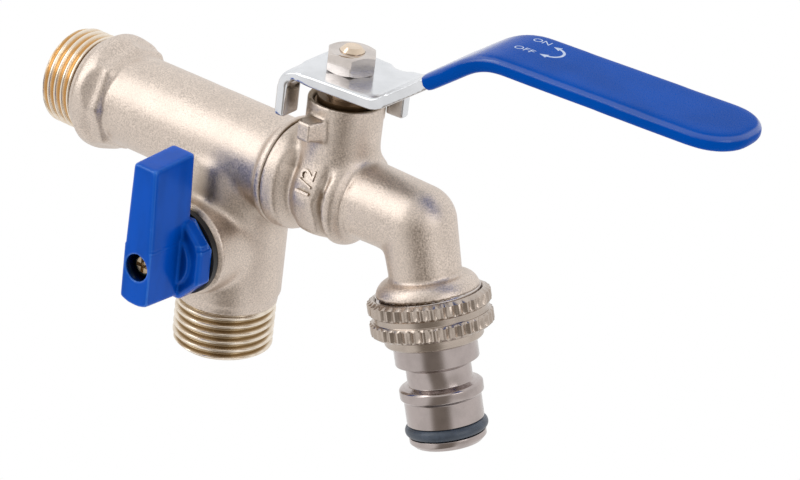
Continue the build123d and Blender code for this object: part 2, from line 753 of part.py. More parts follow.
def branch_handle():
    """Moulded handle: an eight-sided hub, a core, the blade and its foot, with the screw's well."""
    hub = prism(handle_hub_flats, facet_sides, handle_back, hub_front, 180 / facet_sides)
    hub = chamfer(hub.faces().sort_by(Axis.Z)[-1].edges(), handle_edge)
    core = rod(handle_core_diameter, hub_front, handle_front - handle_block_depth)
    body = hub + core + handle_fin() + handle_block()
    body -= prism(branch_stem_square + 2 * turning_gap, 4, handle_back, square_end + turning_gap, 45)
    body -= rod(screw_shank + 2 * turning_gap, handle_back, screw_seat)
    return branch * (body - rod(screw_hole, screw_seat, handle_front))


def handle_screw():
    """Small pan-head screw with a cross recess."""
    head = rod(screw_head, screw_seat, screw_seat + screw_head_thickness)
    head = fillet(head.edges().sort_by(Axis.Z)[-1], screw_head_thickness / 2)
    arm = Box(recess_span, recess_width, screw_head_thickness)
    top = Pos(0, 0, screw_seat + screw_head_thickness)
    head -= [top * arm, top * Rot(0, 0, 90) * arm]
    return branch * (head + rod(screw_shank, screw_seat - screw_length, screw_seat))


parts = {
    "tee_body": tee_body(),
    "tap_body": tap_body(),
    "main_ball": main_ball(),
    "rear_seat": rear_seat(),
    "front_seat": front_seat(),
    "main_stem": main_stem(),
    "thrust_washer": thrust_washer(),
    "stem_packing": stem_packing(),
    "gland_nut": gland_nut(),
    "lever": lever(),
    "lever_sleeve": lever_sleeve(),
    "lever_nut": lever_nut(),
    "union_nut": union_nut(),
    "union_washer": union_washer(),
    "hose_nipple": hose_nipple(),
    "nipple_ring": nipple_ring(),
    "branch_ball": branch_ball(),
    "branch_upper_seat": branch_upper_seat(),
    "branch_lower_seat": branch_lower_seat(),
    "branch_retainer": branch_retainer(),
    "branch_stem": branch_stem(),
    "branch_seal_inner": branch_seal(0),
    "branch_seal_outer": branch_seal(1),
    "dust_washer": dust_washer(),
    "branch_handle": branch_handle(),
    "handle_screw": handle_screw(),
}

os.makedirs("parts", exist_ok=True)
for name, solid in parts.items():
    export_step(solid, f"parts/{name}.step")
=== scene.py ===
"""Looks of the two-way hose tap: forged bodies, threads, lever, hose union and branch handle on a pale stage."""

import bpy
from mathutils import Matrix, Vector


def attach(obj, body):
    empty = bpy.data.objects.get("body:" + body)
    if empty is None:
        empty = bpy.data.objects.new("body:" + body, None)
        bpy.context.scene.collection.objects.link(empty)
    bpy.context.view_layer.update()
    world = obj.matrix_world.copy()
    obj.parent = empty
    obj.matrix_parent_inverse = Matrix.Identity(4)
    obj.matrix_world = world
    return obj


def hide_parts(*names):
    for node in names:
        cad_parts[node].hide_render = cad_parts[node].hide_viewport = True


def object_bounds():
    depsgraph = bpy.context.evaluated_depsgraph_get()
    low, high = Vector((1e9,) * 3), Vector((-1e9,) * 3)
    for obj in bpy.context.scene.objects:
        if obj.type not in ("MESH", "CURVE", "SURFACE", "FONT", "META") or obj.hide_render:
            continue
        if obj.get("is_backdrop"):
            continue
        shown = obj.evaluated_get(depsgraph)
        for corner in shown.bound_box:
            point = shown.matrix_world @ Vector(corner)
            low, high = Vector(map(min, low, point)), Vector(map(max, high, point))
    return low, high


bl_info = {
    "name": "Hose tap",
    "version": (1, 0, 0),
    "blender": (4, 5, 0),
    "location": "View3D > Sidebar > Hose tap",
    "description": "Dresses the packed hose tap with its forgings, threads, finishes and stage",
    "category": "Object",
}

from math import cos, pi, radians, sin, tan

import bmesh
import bpy
import numpy as np
from bpy.props import FloatProperty, FloatVectorProperty, IntProperty, PointerProperty
from mathutils import Matrix, Vector
from mathutils.bvhtree import BVHTree

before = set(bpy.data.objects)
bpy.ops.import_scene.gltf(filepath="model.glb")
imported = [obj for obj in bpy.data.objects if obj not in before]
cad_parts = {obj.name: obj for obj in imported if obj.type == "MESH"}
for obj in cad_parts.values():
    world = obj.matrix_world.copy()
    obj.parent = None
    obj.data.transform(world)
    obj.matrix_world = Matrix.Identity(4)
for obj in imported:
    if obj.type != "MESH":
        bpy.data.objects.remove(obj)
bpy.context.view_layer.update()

MM = 0.001

# Places on the part, in millimetres, in the shared frame.
THREAD_RADIUS = 20.955 / 2
INLET_THREAD_END = 8.6
INLET_BORE = 6.2
BRANCH_X = 47.0
BRANCH_THREAD_TOP = -33.2
BRANCH_END = -43.8
BRANCH_BORE = 7.6
BRANCH_VALVE_Z = -18.6
JOINT_X = 61.6
STEM_X = 72.0
SPOUT_CORNER = Vector((92.8, 0.0, 0.6))
SPOUT_TILT = radians(18.6)
SPOUT_COLLAR = 13.9
SPOUT_END = 18.6
SPOUT_BORE = 4.7
OUTLET = Vector((sin(SPOUT_TILT), 0.0, -cos(SPOUT_TILT)))

# The lever: its turn from the pipe's line, the plate, the ramp and the grip with its dip.
LEVER_TURN = radians(5.0)
PLATE_TOP = 25.6
RAMP_START = 12.0
RAMP_RISE = 15.9
RAMP_ANGLE = radians(36.5)
DIP_WALL = 0.5
GRIP_START = RAMP_START + RAMP_RISE / tan(RAMP_ANGLE)
GRIP_TOP = PLATE_TOP + RAMP_RISE + DIP_WALL
GRIP_PITCH = radians(-1.0)

# Threads: lead-in at the open end, run-out at the other, overlap into the forging, and the angle of a sharp edge.
LEAD_IN = 0.8
RUN_OUT = 0.5
BRANCH_RUN_OUT = 1.1
THREAD_OVERLAP = 0.4
THREAD_SHARP = 50

# Shares of half a pitch: a thread's flat crest and its flank, and the same on a tooth of the knurl.
THREAD_CREST = 0.14
THREAD_FLANK = 0.72
KNURL_CREST = 0.22
KNURL_FLANK = 0.68
KNURL_TEETH = 40

# The union nut's outline: distance along the spout from its corner, radius and depth of the knurl's teeth.
NUT_ROWS = (
    (14.10, 10.85, 0.0), (14.10, 11.05, 0.0), (14.16, 11.20, 0.0), (14.76, 12.20, 0.42), (14.92, 12.25, 0.55),
    (16.55, 12.25, 0.55), (16.75, 12.25, 0.46), (17.05, 11.86, 0.0), (17.15, 11.76, 0.0), (17.20, 11.54, 0.0),
    (17.30, 11.48, 0.0), (18.40, 11.48, 0.0), (18.50, 11.54, 0.0), (18.55, 11.76, 0.0), (18.65, 11.86, 0.0),
    (18.95, 12.25, 0.46), (19.15, 12.25, 0.55), (20.85, 12.25, 0.55), (21.05, 12.25, 0.46), (21.45, 11.70, 0.0),
    (21.65, 11.35, 0.0), (21.70, 11.20, 0.0), (21.70, 10.10, 0.0), (21.76, 9.96, 0.0), (21.90, 9.90, 0.0),
    (23.10, 9.90, 0.0), (23.45, 9.83, 0.0), (23.72, 9.60, 0.0), (23.86, 9.32, 0.0), (23.90, 9.10, 0.0),
    (23.90, 8.50, 0.0), (21.20, 8.50, 0.0), (21.20, 10.53, 0.0), (14.40, 10.53, 0.0),
)

# Where the lever's tabs leave its plate, along and across from the stem, and how far and how low they blend.
TAB_ROOTS = ((-7.2, -7.6), (3.6, 8.8), (8.8, 8.8))
TAB_BLEND = 3.6
TAB_LOW = 21.5

# The back tab's near side: how far it comes out, where that starts along and across, and how it fades.
TAB_OUT = 1.3
TAB_ALONG = -5.6
TAB_ACROSS = -5.0
TAB_FADE = 3.2
TAB_EDGE = -8.2
TAB_SQUEEZE = 0.96

# The plate's near back corner, along and across the lever, at its top and bottom.
CORNER_PLAN = ((-6.7, -9.45), (-4.4, -9.6), (-4.4, -7.0), (-6.7, -7.0))
CORNER_HEIGHTS = (PLATE_TOP, 23.2)

# The branch handle's blade: its back, its root and top above the valve, and how much its root grows.
FIN_BACK = -17.2
FIN_ROOT = 3.8
FIN_TOP = 21.8
FIN_TAPER = 17.4
FIN_GROW = 0.13

# Forged valleys round the tap body: place along the pipe, depth and half width. They spare the wall round the bore.
VALLEYS = ((66.9, 1.25, 1.35), (75.5, 0.7, 0.8), (79.3, 0.8, 0.9))
VALLEY_WALL = 7.6
VALLEY_FADE = 1.2

# Creases of the forgings, each as a middle and a width: tee's pipe, branch and boss, tower's foot and spout's crook.
PIPE_CREASE = (10.2, 1.6)
BRANCH_CREASE = (11.0, 2.2)
BOSS_CREASE = (9.9, 1.6)
BOSS_REACH = (-13.6, -2.0)
TOWER_CREASE = (8.4, 1.9)
TOWER_FOOT = (8.6, 3.0)
TOWER_ROOT = 8.5
TOWER_FADE = 3.0
CROOK = (87.0, -8.0)
CROOK_WIDTH = 4.0

# Faceted rings, each as a middle and a half width along the pipe, and the band's least radius.
COLLAR = (14.6, 1.6)
BAND = (71.6, 2.2)
BAND_RING = 8.4

# Softening: half the seam that is left sharp, the strongest pull of a pass, and the passes.
SEAM_HALF = 0.4
FORGING_PULL = 0.55
FORGING_BACK = 1.04
CREASE_PULL = 0.9
FACET_PULL = 0.6
EDGE_PULL = 0.5
JUNCTION_PASSES = 26
COLLAR_PASSES = 9
TOWER_PASSES = 24
BAND_PASSES = 30
TAB_PASSES = 25

# Corners of the drafted front lug: its front face and its root inside the tower.
LUG_FRONT = ((69.3, -11.2, 12.7), (72.2, -11.2, 12.7), (72.2, -11.2, 16.5), (69.3, -11.2, 16.5))
LUG_ROOT = ((68.6, -6.2, 12.3), (74.4, -6.2, 12.3), (74.0, -6.2, 17.2), (68.6, -6.2, 17.2))

# Fixed tones: gloss of the blue plastics, a painted highlight for their edges, painted shade for the forgings'
# hollows, and the room.
BLUE_GLOSS = (0.20, 0.70, 1.0, 1.0)
PAINTED_EDGE_HIGHLIGHT = (0.02, 0.20, 0.72, 1.0)
PAINTED_HOLLOW_SHADE = (0.25, 0.185, 0.12, 1.0)
WHITE = (1.0, 1.0, 1.0, 1.0)
PALE_FLOOR = (0.95, 0.94, 0.93, 1.0)
ROOM_FRONT = (0.72, 0.70, 0.68, 1.0)
ROOM_DARK = (0.31, 0.28, 0.25, 1.0)

# The size mark on the band's near flat, and the print on the grip: places, heights and thickness.
SIZE_MARK = (71.7, -9.35, 3.50)
SIZE_MARK_HEIGHT = 4.8
SIZE_MARK_DEPTH = 0.9
FLAT_UP = Vector((0.0, sin(radians(22.5)), cos(radians(22.5))))
PRINT_ON = (109.6, 8.6)
PRINT_OFF = (109.8, 2.6)
PRINT_ARROW = (114.9, 5.9)
PRINT_HEIGHT = 2.5
PRINT_HALF = 0.012

# The printed arrow: radius and half width of its arc, its half sweep in degrees, and its heads.
ARROW_RADIUS = 2.5
ARROW_HALF = 0.26
ARROW_SWEEP = 78
ARROW_STEPS = 24
ARROW_SHIFT = 1.2
HEAD_LENGTH = 1.5
HEAD_LEAN = 0.15
HEAD_BACK = 0.1
HEAD_HALF = 0.85

# The photograph's camera: direction, roll, focal length and picture centre, in pixels of an 800 by 480 frame.
PICTURE = (800, 480)
FOCAL = 3000.0
CAMERA_AZIMUTH = radians(35.683)
CAMERA_ELEVATION = radians(24.688)
CAMERA_ROLL = radians(7.363)
AIM_PIXEL = (241.852, 146.971)
PIXELS_PER_MM = 4.942
SENSOR = 36.0

# The room's dark side, which metal reflects: its direction from the part's middle, and the wedge it fills in degrees.
# It lies behind the photograph's camera and stays there in other views.
MIDDLE_X = 70.0
DARK_SIDE = CAMERA_AZIMUTH
DARK_OUTER, DARK_INNER = 34, 12

# The lamps, in metres: name, property of their power, place and size. All aim at the part.
LAMPS = (
    ("key light", "key_power", (-0.41, -0.66, 0.39), 0.5),
    ("fill light", "fill_power", (0.80, -0.10, 0.35), 0.4),
    ("edge light", "edge_power", (-0.41, -0.36, 0.65), 0.22),
)
LAMP_AIM = Vector((0.07, 0, 0))
FLOOR_REACH = 6.0

# What every colour property has.
COLOUR = {"subtype": "COLOR", "min": 0, "max": 1}


class TapShapes(bpy.types.PropertyGroup):
    """Sizes of the forms that are finer than the solids."""

    thread_pitch: FloatProperty(
        name="Thread pitch", description="Advance of the pipe thread in one turn", default=1.814 * MM, unit="LENGTH")
    thread_depth: FloatProperty(
        name="Thread depth", description="Height of the pipe thread", default=1.05 * MM, unit="LENGTH")
    forging_grain: FloatProperty(
        name="Forging mesh", description="Edge length of the forgings' mesh", default=0.37 * MM, unit="LENGTH")
    forging_softness: IntProperty(
        name="Forging softness", description="Passes that round the forgings' edges", default=5, min=0)
    stamped_grain: FloatProperty(
        name="Stamped mesh", description="Edge length of the lever's mesh", default=0.26 * MM, unit="LENGTH")
    stamped_softness: IntProperty(
        name="Stamped softness", description="Passes that round the lever's edges", default=12, min=0)
    dipped_grain: FloatProperty(
        name="Dipped mesh", description="Edge length of the sleeve's mesh", default=0.36 * MM, unit="LENGTH")
    dipped_softness: IntProperty(
        name="Dipped softness", description="Passes that round the sleeve's edges", default=28, min=0)
    moulded_grain: FloatProperty(
        name="Moulded mesh", description="Edge length of the branch handle's mesh", default=0.22 * MM, unit="LENGTH")
    moulded_softness: IntProperty(
        name="Moulded softness", description="Passes that round the handle's edges", default=8, min=0)
    turned_edge: FloatProperty(
        name="Turned edge", description="Rounding of the turned pieces' edges", default=0.12 * MM, unit="LENGTH")


class TapColours(bpy.types.PropertyGroup):
    """Colours of the finishes."""

    nickel: FloatVectorProperty(
        name="Nickel", description="Nickel plating on the forgings", default=(0.715, 0.62, 0.545), **COLOUR)
    bright_nickel: FloatVectorProperty(
        name="Bright nickel", description="Nickel plating on the nipple and in the spout's thread",
        default=(0.44, 0.385, 0.370), **COLOUR)
    knurl: FloatVectorProperty(
        name="Union nut", description="Warm nickel plating on the knurled nut", default=(0.485, 0.415, 0.36),
        **COLOUR)
    nut: FloatVectorProperty(
        name="Lever nut", description="Nickel plating on the lever's nut and the spout's thread",
        default=(0.63, 0.575, 0.54), **COLOUR)
    stem: FloatVectorProperty(
        name="Stem", description="Worn plating on the stem", default=(0.78, 0.64, 0.50), **COLOUR)
    crest: FloatVectorProperty(
        name="Thread crest", description="Plating on the threads' crests", default=(0.86, 0.77, 0.66), **COLOUR)
    inlet_root: FloatVectorProperty(
        name="Inlet thread root", description="Bare brass in the inlet's thread", default=(0.76, 0.53, 0.28),
        **COLOUR)
    branch_root: FloatVectorProperty(
        name="Branch thread root", description="Dull brass in the branch's thread", default=(0.44, 0.33, 0.20),
        **COLOUR)
    # The gland's colour is brass darkened far down as painted shade, for its place deep in the tower.
    gland: FloatVectorProperty(
        name="Gland", description="Dull brass of the gland", default=(0.16, 0.10, 0.05), **COLOUR)
    brass: FloatVectorProperty(
        name="Brass", description="Bare brass of the branch valve", default=(0.86, 0.67, 0.46), **COLOUR)
    zinc: FloatVectorProperty(
        name="Zinc", description="Zinc plating on the lever", default=(0.73, 0.745, 0.77), **COLOUR)
    sleeve: FloatVectorProperty(
        name="Sleeve", description="Dipped sleeve on the lever", default=(0.0002, 0.066, 0.38), **COLOUR)
    handle: FloatVectorProperty(
        name="Handle", description="Moulded branch handle", default=(0.0001, 0.070, 0.46), **COLOUR)
    # The screw's yellow plating is darkened further as painted shade, for its place deep in the handle's well.
    screw: FloatVectorProperty(
        name="Screw", description="Dull yellow plating on the handle's screw", default=(0.46, 0.37, 0.25), **COLOUR)
    rubber: FloatVectorProperty(
        name="Rubber", description="Washers and seals", default=(0.012, 0.012, 0.013), **COLOUR)
    ring: FloatVectorProperty(name="Ring", description="Ring on the nipple", default=(0.045, 0.060, 0.085), **COLOUR)
    print: FloatVectorProperty(name="Print", description="Print on the sleeve", default=(0.50, 0.60, 0.80), **COLOUR)


class TapStage(bpy.types.PropertyGroup):
    """Floor and light."""

    floor: FloatVectorProperty(name="Floor", description="Colour of the floor", default=(0.9, 0.9, 0.9), **COLOUR)
    floor_drop: FloatProperty(
        name="Floor drop", description="Floor's distance under the part", default=200 * MM, unit="LENGTH")
    key_power: FloatProperty(
        name="Key light", description="Power of the large soft light", default=1.4, min=0, unit="POWER")
    fill_power: FloatProperty(
        name="Fill light", description="Power of the side light", default=0.75, min=0, unit="POWER")
    edge_power: FloatProperty(
        name="Edge light", description="Power of the small light on the edges", default=0.5, min=0, unit="POWER")
    room_light: FloatProperty(name="Room light", description="Strength of the light all round", default=1.0, min=0)


class Wire:
    """An output socket that can be used in sums; each sum adds a Math node."""

    def __init__(self, finish, socket):
        self.finish = finish
        self.socket = socket

    def sum(self, operation, first, second):
        """A Math node on two values."""
        return self.finish.node("ShaderNodeMath", {"operation": operation}, {0: first, 1: second})

    def __add__(self, other):
        return self.sum("ADD", self, other)

    def __radd__(self, other):
        return self.sum("ADD", other, self)

    def __sub__(self, other):
        return self.sum("SUBTRACT", self, other)

    def __rsub__(self, other):
        return self.sum("SUBTRACT", other, self)

    def __mul__(self, other):
        return self.sum("MULTIPLY", self, other)

    def __rmul__(self, other):
        return self.sum("MULTIPLY", other, self)

    def span(self, low, high, top=1.0):
        """The value stretched from a range to 0 and a top and clamped, with soft ends."""
        return self.finish.node("ShaderNodeMapRange", {"interpolation_type": "SMOOTHSTEP"},
                                {0: self, 1: low, 2: high, 3: 0.0, 4: top})


class Finish:
    """A node tree, of a material or the world, and what is used to fill it."""

    def __init__(self, owner):
        owner.use_nodes = True
        self.owner = owner
        self.tree = owner.node_tree

    def node(self, kind, settings=None, sockets=None, out=0):
        """Add a node: its settings first, then the values or links of its sockets. Gives one of its outputs."""
        made = self.tree.nodes.new(kind)
        for name, value in (settings or {}).items():
            setattr(made, name, value)
        for key, value in (sockets or {}).items():
            self.feed(made.inputs[key], value)
        return Wire(self, made.outputs[out])

    def feed(self, socket, value):
        """Link a wire to a socket, or set the socket's own value."""
        if isinstance(value, Wire):
            self.tree.links.new(value.socket, socket)
        else:
            socket.default_value = value

    def place(self):
        """Where the point lies on the piece."""
        return self.node("ShaderNodeTexCoord", out="Object")

    def vectors(self, operation, first, second=(0, 0, 0)):
        """A vector from one or two others."""
        return self.node("ShaderNodeVectorMath", {"operation": operation}, {0: first, 1: second})

    def dot(self, first, second):
        """How far one vector runs along another."""
        return self.node("ShaderNodeVectorMath", {"operation": "DOT_PRODUCT"}, {0: first, 1: second}, "Value")

    def axis(self, direction, origin):
        """Distance along a direction from a point of the frame, in metres."""
        return self.dot(self.vectors("SUBTRACT", self.place(), origin), direction)

    def off_axis(self, direction, origin):
        """Distance from an axis through a point of the frame, in metres."""
        square = self.vectors("CROSS_PRODUCT", self.vectors("SUBTRACT", self.place(), origin), direction)
        return self.node("ShaderNodeVectorMath", {"operation": "LENGTH"}, {0: square}, "Value")

    def facing(self, direction):
        """How far the surface faces a direction of the piece: 1 straight at it, 0 square to it."""
        return self.dot(self.node("ShaderNodeTexCoord", out="Normal"), direction)

    def edges(self):
        """Over a half on edges that stand out, a half on flat faces."""
        return self.node("ShaderNodeNewGeometry", out="Pointiness")

    def noise(self, size, detail=2.0, stretch=(1, 1, 1)):
        """Cloudy noise with lumps of about this size, in metres."""
        scaled = self.vectors("MULTIPLY", self.place(), stretch)
        return self.node("ShaderNodeTexNoise", {}, {"Vector": scaled, "Scale": 1 / size, "Detail": detail})

    def hollows(self, reach):
        """How open a point lies: 1 on an open face and 0 deep in a hollow of about this reach, in metres."""
        return self.node("ShaderNodeAmbientOcclusion", {"samples": 8}, {"Distance": reach}, out="AO")

    def mix(self, share, first, second):
        """Two colours mixed."""
        return self.node("ShaderNodeMix", {"data_type": "RGBA"}, {0: share, 6: first, 7: second}, out=2)

    def tones(self, share, colour, first, second):
        """A colour that runs between two shades of itself."""
        return self.mix(share, shade(colour, first), shade(colour, second))

    def bump(self, height, strength, distance):
        """Normals that follow a height."""
        return self.node("ShaderNodeBump", {}, {"Height": height, "Strength": strength, "Distance": distance})

    def set(self, **values):
        """Set the surface shader's sockets, with spaces for underscores."""
        shader = self.tree.nodes["Principled BSDF"]
        for name, value in values.items():
            self.feed(shader.inputs[name.replace("_", " ")], value)
        return self.owner


def new_finish(name):
    """A new material to fill."""
    return Finish(bpy.data.materials.new(name))


def shade(colour, factor):
    """A colour made lighter or darker, as four numbers."""
    return [min(1.0, c * factor) for c in colour] + [1.0]


def forged_nickel(colours):
    """Sand-blasted forging under warm nickel plating: fine sparkle, soft lumps and painted shade in its hollows."""
    finish = new_finish("forged nickel")
    grain = finish.noise(0.30 * MM, 3.0)
    lumps = finish.noise(5.0 * MM, 2.0)
    spark = finish.noise(0.16 * MM, 1.0)
    tone = finish.tones(grain.span(0.3, 0.7), colours.nickel, 0.74, 1.18)
    tone = finish.mix(lumps.span(0.35, 0.7, 0.35), tone, shade(colours.nickel, 0.86))
    # Painted shade: the plating turns dark brown wherever ambient occlusion finds a hollow within 9 mm.
    tone = finish.mix(finish.hollows(9.0 * MM).span(0.30, 0.88), PAINTED_HOLLOW_SHADE, tone)
    rough = 0.29 + 0.16 * grain.span(0.3, 0.7) + 0.05 * lumps
    height = 0.7 * grain + 0.3 * spark
    return finish.set(Base_Color=tone, Metallic=1.0, Roughness=rough,
                      Normal=finish.bump(height, 0.65, 0.11 * MM))


def thread_metal(name, crest, root, direction, origin):
    """Cut thread: pale crests, darker roots and fine tool lines."""
    finish = new_finish(name)
    lines = finish.noise(0.12 * MM, 2.0)
    stain = finish.noise(2.4 * MM, 3.0)
    rise = finish.off_axis(direction, origin).span((THREAD_RADIUS - 0.85) * MM, (THREAD_RADIUS - 0.10) * MM)
    tone = finish.mix(rise, shade(root, 1.0), shade(crest, 1.0))
    tone = finish.mix(stain.span(0.3, 0.75, 0.3), tone, shade(root, 0.9))
    return finish.set(Base_Color=tone, Metallic=1.0, Roughness=0.20 + 0.14 * stain.span(0.3, 0.8),
                      Normal=finish.bump(lines, 0.12, 0.03 * MM))


def turned_metal(name, colour, direction, rough, origin=(0, 0, 0)):
    """Turned and plated metal, with fine rings square to its axis."""
    finish = new_finish(name)
    along = finish.axis(direction, origin)
    rings = finish.node("ShaderNodeTexNoise", {"noise_dimensions": "1D"},
                        {"W": along, "Scale": 1 / (0.10 * MM), "Detail": 3.0})
    stain = finish.noise(3.0 * MM, 3.0)
    tone = finish.tones(stain.span(0.35, 0.75), colour, 1.04, 0.90)
    return finish.set(Base_Color=tone, Metallic=1.0, Roughness=rough + 0.10 * rings.span(0.3, 0.8),
                      Normal=finish.bump(rings, 0.14, 0.02 * MM))


def zinc_steel(colours):
    """Bright zinc on stamped steel: cool, nearly a mirror, with faint waves and rolling marks."""
    finish = new_finish("zinc steel")
    waves = finish.noise(6.0 * MM, 2.0)
    specks = finish.noise(0.35 * MM, 3.0)
    tone = finish.tones(waves.span(0.3, 0.7), colours.zinc, 1.05, 0.92)
    return finish.set(Base_Color=tone, Metallic=1.0, Roughness=0.17 + 0.10 * specks.span(0.3, 0.75),
                      Normal=finish.bump(0.7 * waves + 0.3 * specks, 0.10, 0.06 * MM))


def dipped_plastic(colours):
    """Soft dipped plastic: satin, with a faint skin texture and round shoulders polished by hands."""
    finish = new_finish("dipped plastic")
    lean = finish.facing((0, 0, 1))
    shoulder = lean.span(0.30, 0.60) * (1 - lean.span(0.84, 0.97))
    skin = finish.noise(0.9 * MM, 2.0)
    cloud = finish.noise(14.0 * MM, 2.0)
    tone = finish.tones(cloud.span(0.3, 0.7), colours.sleeve, 0.92, 1.10)
    return finish.set(Base_Color=tone, Roughness=0.22 + 0.08 * skin.span(0.3, 0.7), Specular_IOR_Level=0.03,
                      Specular_Tint=BLUE_GLOSS, Coat_Weight=shoulder, Coat_Roughness=0.24, Coat_IOR=1.65,
                      Normal=finish.bump(skin, 0.05, 0.05 * MM))


def moulded_plastic(colours):
    """Glossy moulded plastic with slight flow marks, a painted highlight on its edges and painted shade in its
    hollows.
    """
    finish = new_finish("moulded plastic")
    flow = finish.noise(4.0 * MM, 2.0, (1.0, 1.0, 0.35))
    dust = finish.noise(0.5 * MM, 2.0)
    tone = finish.tones(flow.span(0.3, 0.7), colours.handle, 0.92, 1.10)
    # A painted highlight: convex edges turn a lighter blue in the base colour; the same mask also gives them a real
    # coat.
    edges = finish.edges().span(0.505, 0.54)
    tone = finish.mix(0.45 * edges, tone, PAINTED_EDGE_HIGHLIGHT)
    # Painted shade: the handle goes nearly black where ambient occlusion finds the screw well and the recess at the
    # fin's foot.
    tone = finish.mix(finish.hollows(8.0 * MM).span(0.30, 0.95), shade(colours.handle, 0.03), tone)
    return finish.set(Base_Color=tone, Roughness=0.17 + 0.07 * dust.span(0.35, 0.8), Specular_IOR_Level=0.22,
                      Specular_Tint=BLUE_GLOSS, Coat_Weight=edges, Coat_Roughness=0.1,
                      Normal=finish.bump(flow, 0.06, 0.10 * MM))


def soft_rubber(name, colour, rough):
    """Moulded rubber, dull, with a fine skin."""
    finish = new_finish(name)
    skin = finish.noise(0.25 * MM, 3.0)
    bloom = finish.noise(3.0 * MM, 2.0)
    tone = finish.tones(bloom.span(0.4, 0.8), colour, 0.9, 1.5)
    return finish.set(Base_Color=tone, Roughness=rough + 0.10 * skin.span(0.3, 0.7),
                      Normal=finish.bump(skin, 0.08, 0.03 * MM))


def seal_plastic():
    """Waxy white seal plastic."""
    finish = new_finish("seal plastic")
    cloud = finish.noise(1.5 * MM, 2.0)
    tone = finish.mix(cloud.span(0.3, 0.7), (0.80, 0.79, 0.75, 1.0), (0.86, 0.85, 0.82, 1.0))
    return finish.set(Base_Color=tone, Roughness=0.38 + 0.1 * cloud, Normal=finish.bump(cloud, 0.05, 0.03 * MM))


def polished_ball():
    """Polished chrome on the valve balls."""
    finish = new_finish("polished ball")
    haze = finish.noise(1.2 * MM, 3.0)
    tone = finish.mix(haze.span(0.3, 0.7), (0.56, 0.56, 0.57, 1.0), (0.64, 0.64, 0.65, 1.0))
    return finish.set(Base_Color=tone, Metallic=1.0, Roughness=0.08 + 0.08 * haze)


def print_ink(colours):
    """Pale pad print, a little broken."""
    finish = new_finish("print ink")
    wear = finish.noise(0.6 * MM, 3.0)
    tone = finish.tones(wear.span(0.35, 0.75), colours.print, 1.05, 0.85)
    return finish.set(Base_Color=tone, Roughness=0.5 + 0.1 * wear)


def put(name, data):
    """A new object in the scene."""
    made = bpy.data.objects.new(name, data)
    bpy.context.scene.collection.objects.link(made)
    return made


def add_piece(name, mesh, material, body):
    """Link a mesh as a new piece that rides on a body, with its finish."""
    piece = put(name, mesh)
    mesh.materials.clear()
    mesh.materials.append(material)
    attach(piece, body)
    return piece


def dress(node, material):
    """Give a solid its finish and shade its round faces smoothly."""
    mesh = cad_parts[node].data
    mesh.materials.clear()
    mesh.materials.append(material)
    mesh.shade_smooth()
    mesh.set_sharp_from_angle(angle=radians(30))


def clamp(value):
    """A number held between 0 and 1."""
    return min(1.0, max(0.0, value))


def copy_solid(node):
    """A loose copy of a solid's mesh, welded, with flat faces made whole."""
    bm = bmesh.new()
    bm.from_mesh(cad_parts[node].data)
    bmesh.ops.remove_doubles(bm, verts=bm.verts, dist=1e-7)
    bmesh.ops.dissolve_limit(bm, angle_limit=radians(0.6), verts=bm.verts, edges=bm.edges)
    return bm


def finish_mesh(bm, name, angle=30):
    """Turn a working mesh into a smooth-shaded one, sharp only at edges over the angle."""
    bmesh.ops.recalc_face_normals(bm, faces=bm.faces)
    mesh = bpy.data.meshes.new(name)
    bm.to_mesh(mesh)
    bm.free()
    mesh.shade_smooth()
    mesh.set_sharp_from_angle(angle=radians(angle))
    return mesh


def round_edges(bm, width):
    """Round every sharp edge."""
    edges = [e for e in bm.edges if len(e.link_faces) == 2 and e.calc_face_angle(0.0) > radians(28)]
    bmesh.ops.bevel(bm, geom=edges, offset=width, segments=3, profile=0.5, affect="EDGES", clamp_overlap=True)


def cut_off(bm, point, normal):
    """Cut a closed mesh at a plane, drop the side that the normal points to, and close the cut."""
    geometry = bm.verts[:] + bm.edges[:] + bm.faces[:]
    cut = bmesh.ops.bisect_plane(bm, geom=geometry, plane_co=point, plane_no=normal, clear_outer=True)
    rim = [e for e in cut["geom_cut"] if isinstance(e, bmesh.types.BMEdge)]
    bmesh.ops.triangle_fill(bm, edges=rim, use_beauty=True)


def take_mesh(carrier):
    """The mesh that a helper object gives with its modifiers. The object itself goes."""
    ready = carrier.evaluated_get(bpy.context.evaluated_depsgraph_get())
    mesh = bpy.data.meshes.new_from_object(ready)
    bpy.data.objects.remove(carrier)
    return mesh


def even_mesh(bm, grain, name, grid=Matrix.Identity(4)):
    """Rebuild a closed mesh with even faces of the given size, laid along a grid's axes."""
    bmesh.ops.transform(bm, matrix=grid.inverted(), verts=bm.verts)
    mesh = bpy.data.meshes.new(name)
    bmesh.ops.triangulate(bm, faces=bm.faces)
    bm.to_mesh(mesh)
    bm.free()
    carrier = put(name, mesh)
    remesh = carrier.modifiers.new("even", "REMESH")
    remesh.mode = "VOXEL"
    remesh.voxel_size = grain
    even = take_mesh(carrier)
    even.transform(grid)
    return even


def spots_of(mesh):
    """A mesh's points as rows of three numbers, in metres."""
    spots = np.zeros(len(mesh.vertices) * 3)
    mesh.vertices.foreach_get("co", spots)
    return spots.reshape(-1, 3)


def move_to(mesh, spots):
    """Put a mesh's points in new places."""
    mesh.vertices.foreach_set("co", spots.ravel())
    mesh.update()
    mesh.shade_smooth()


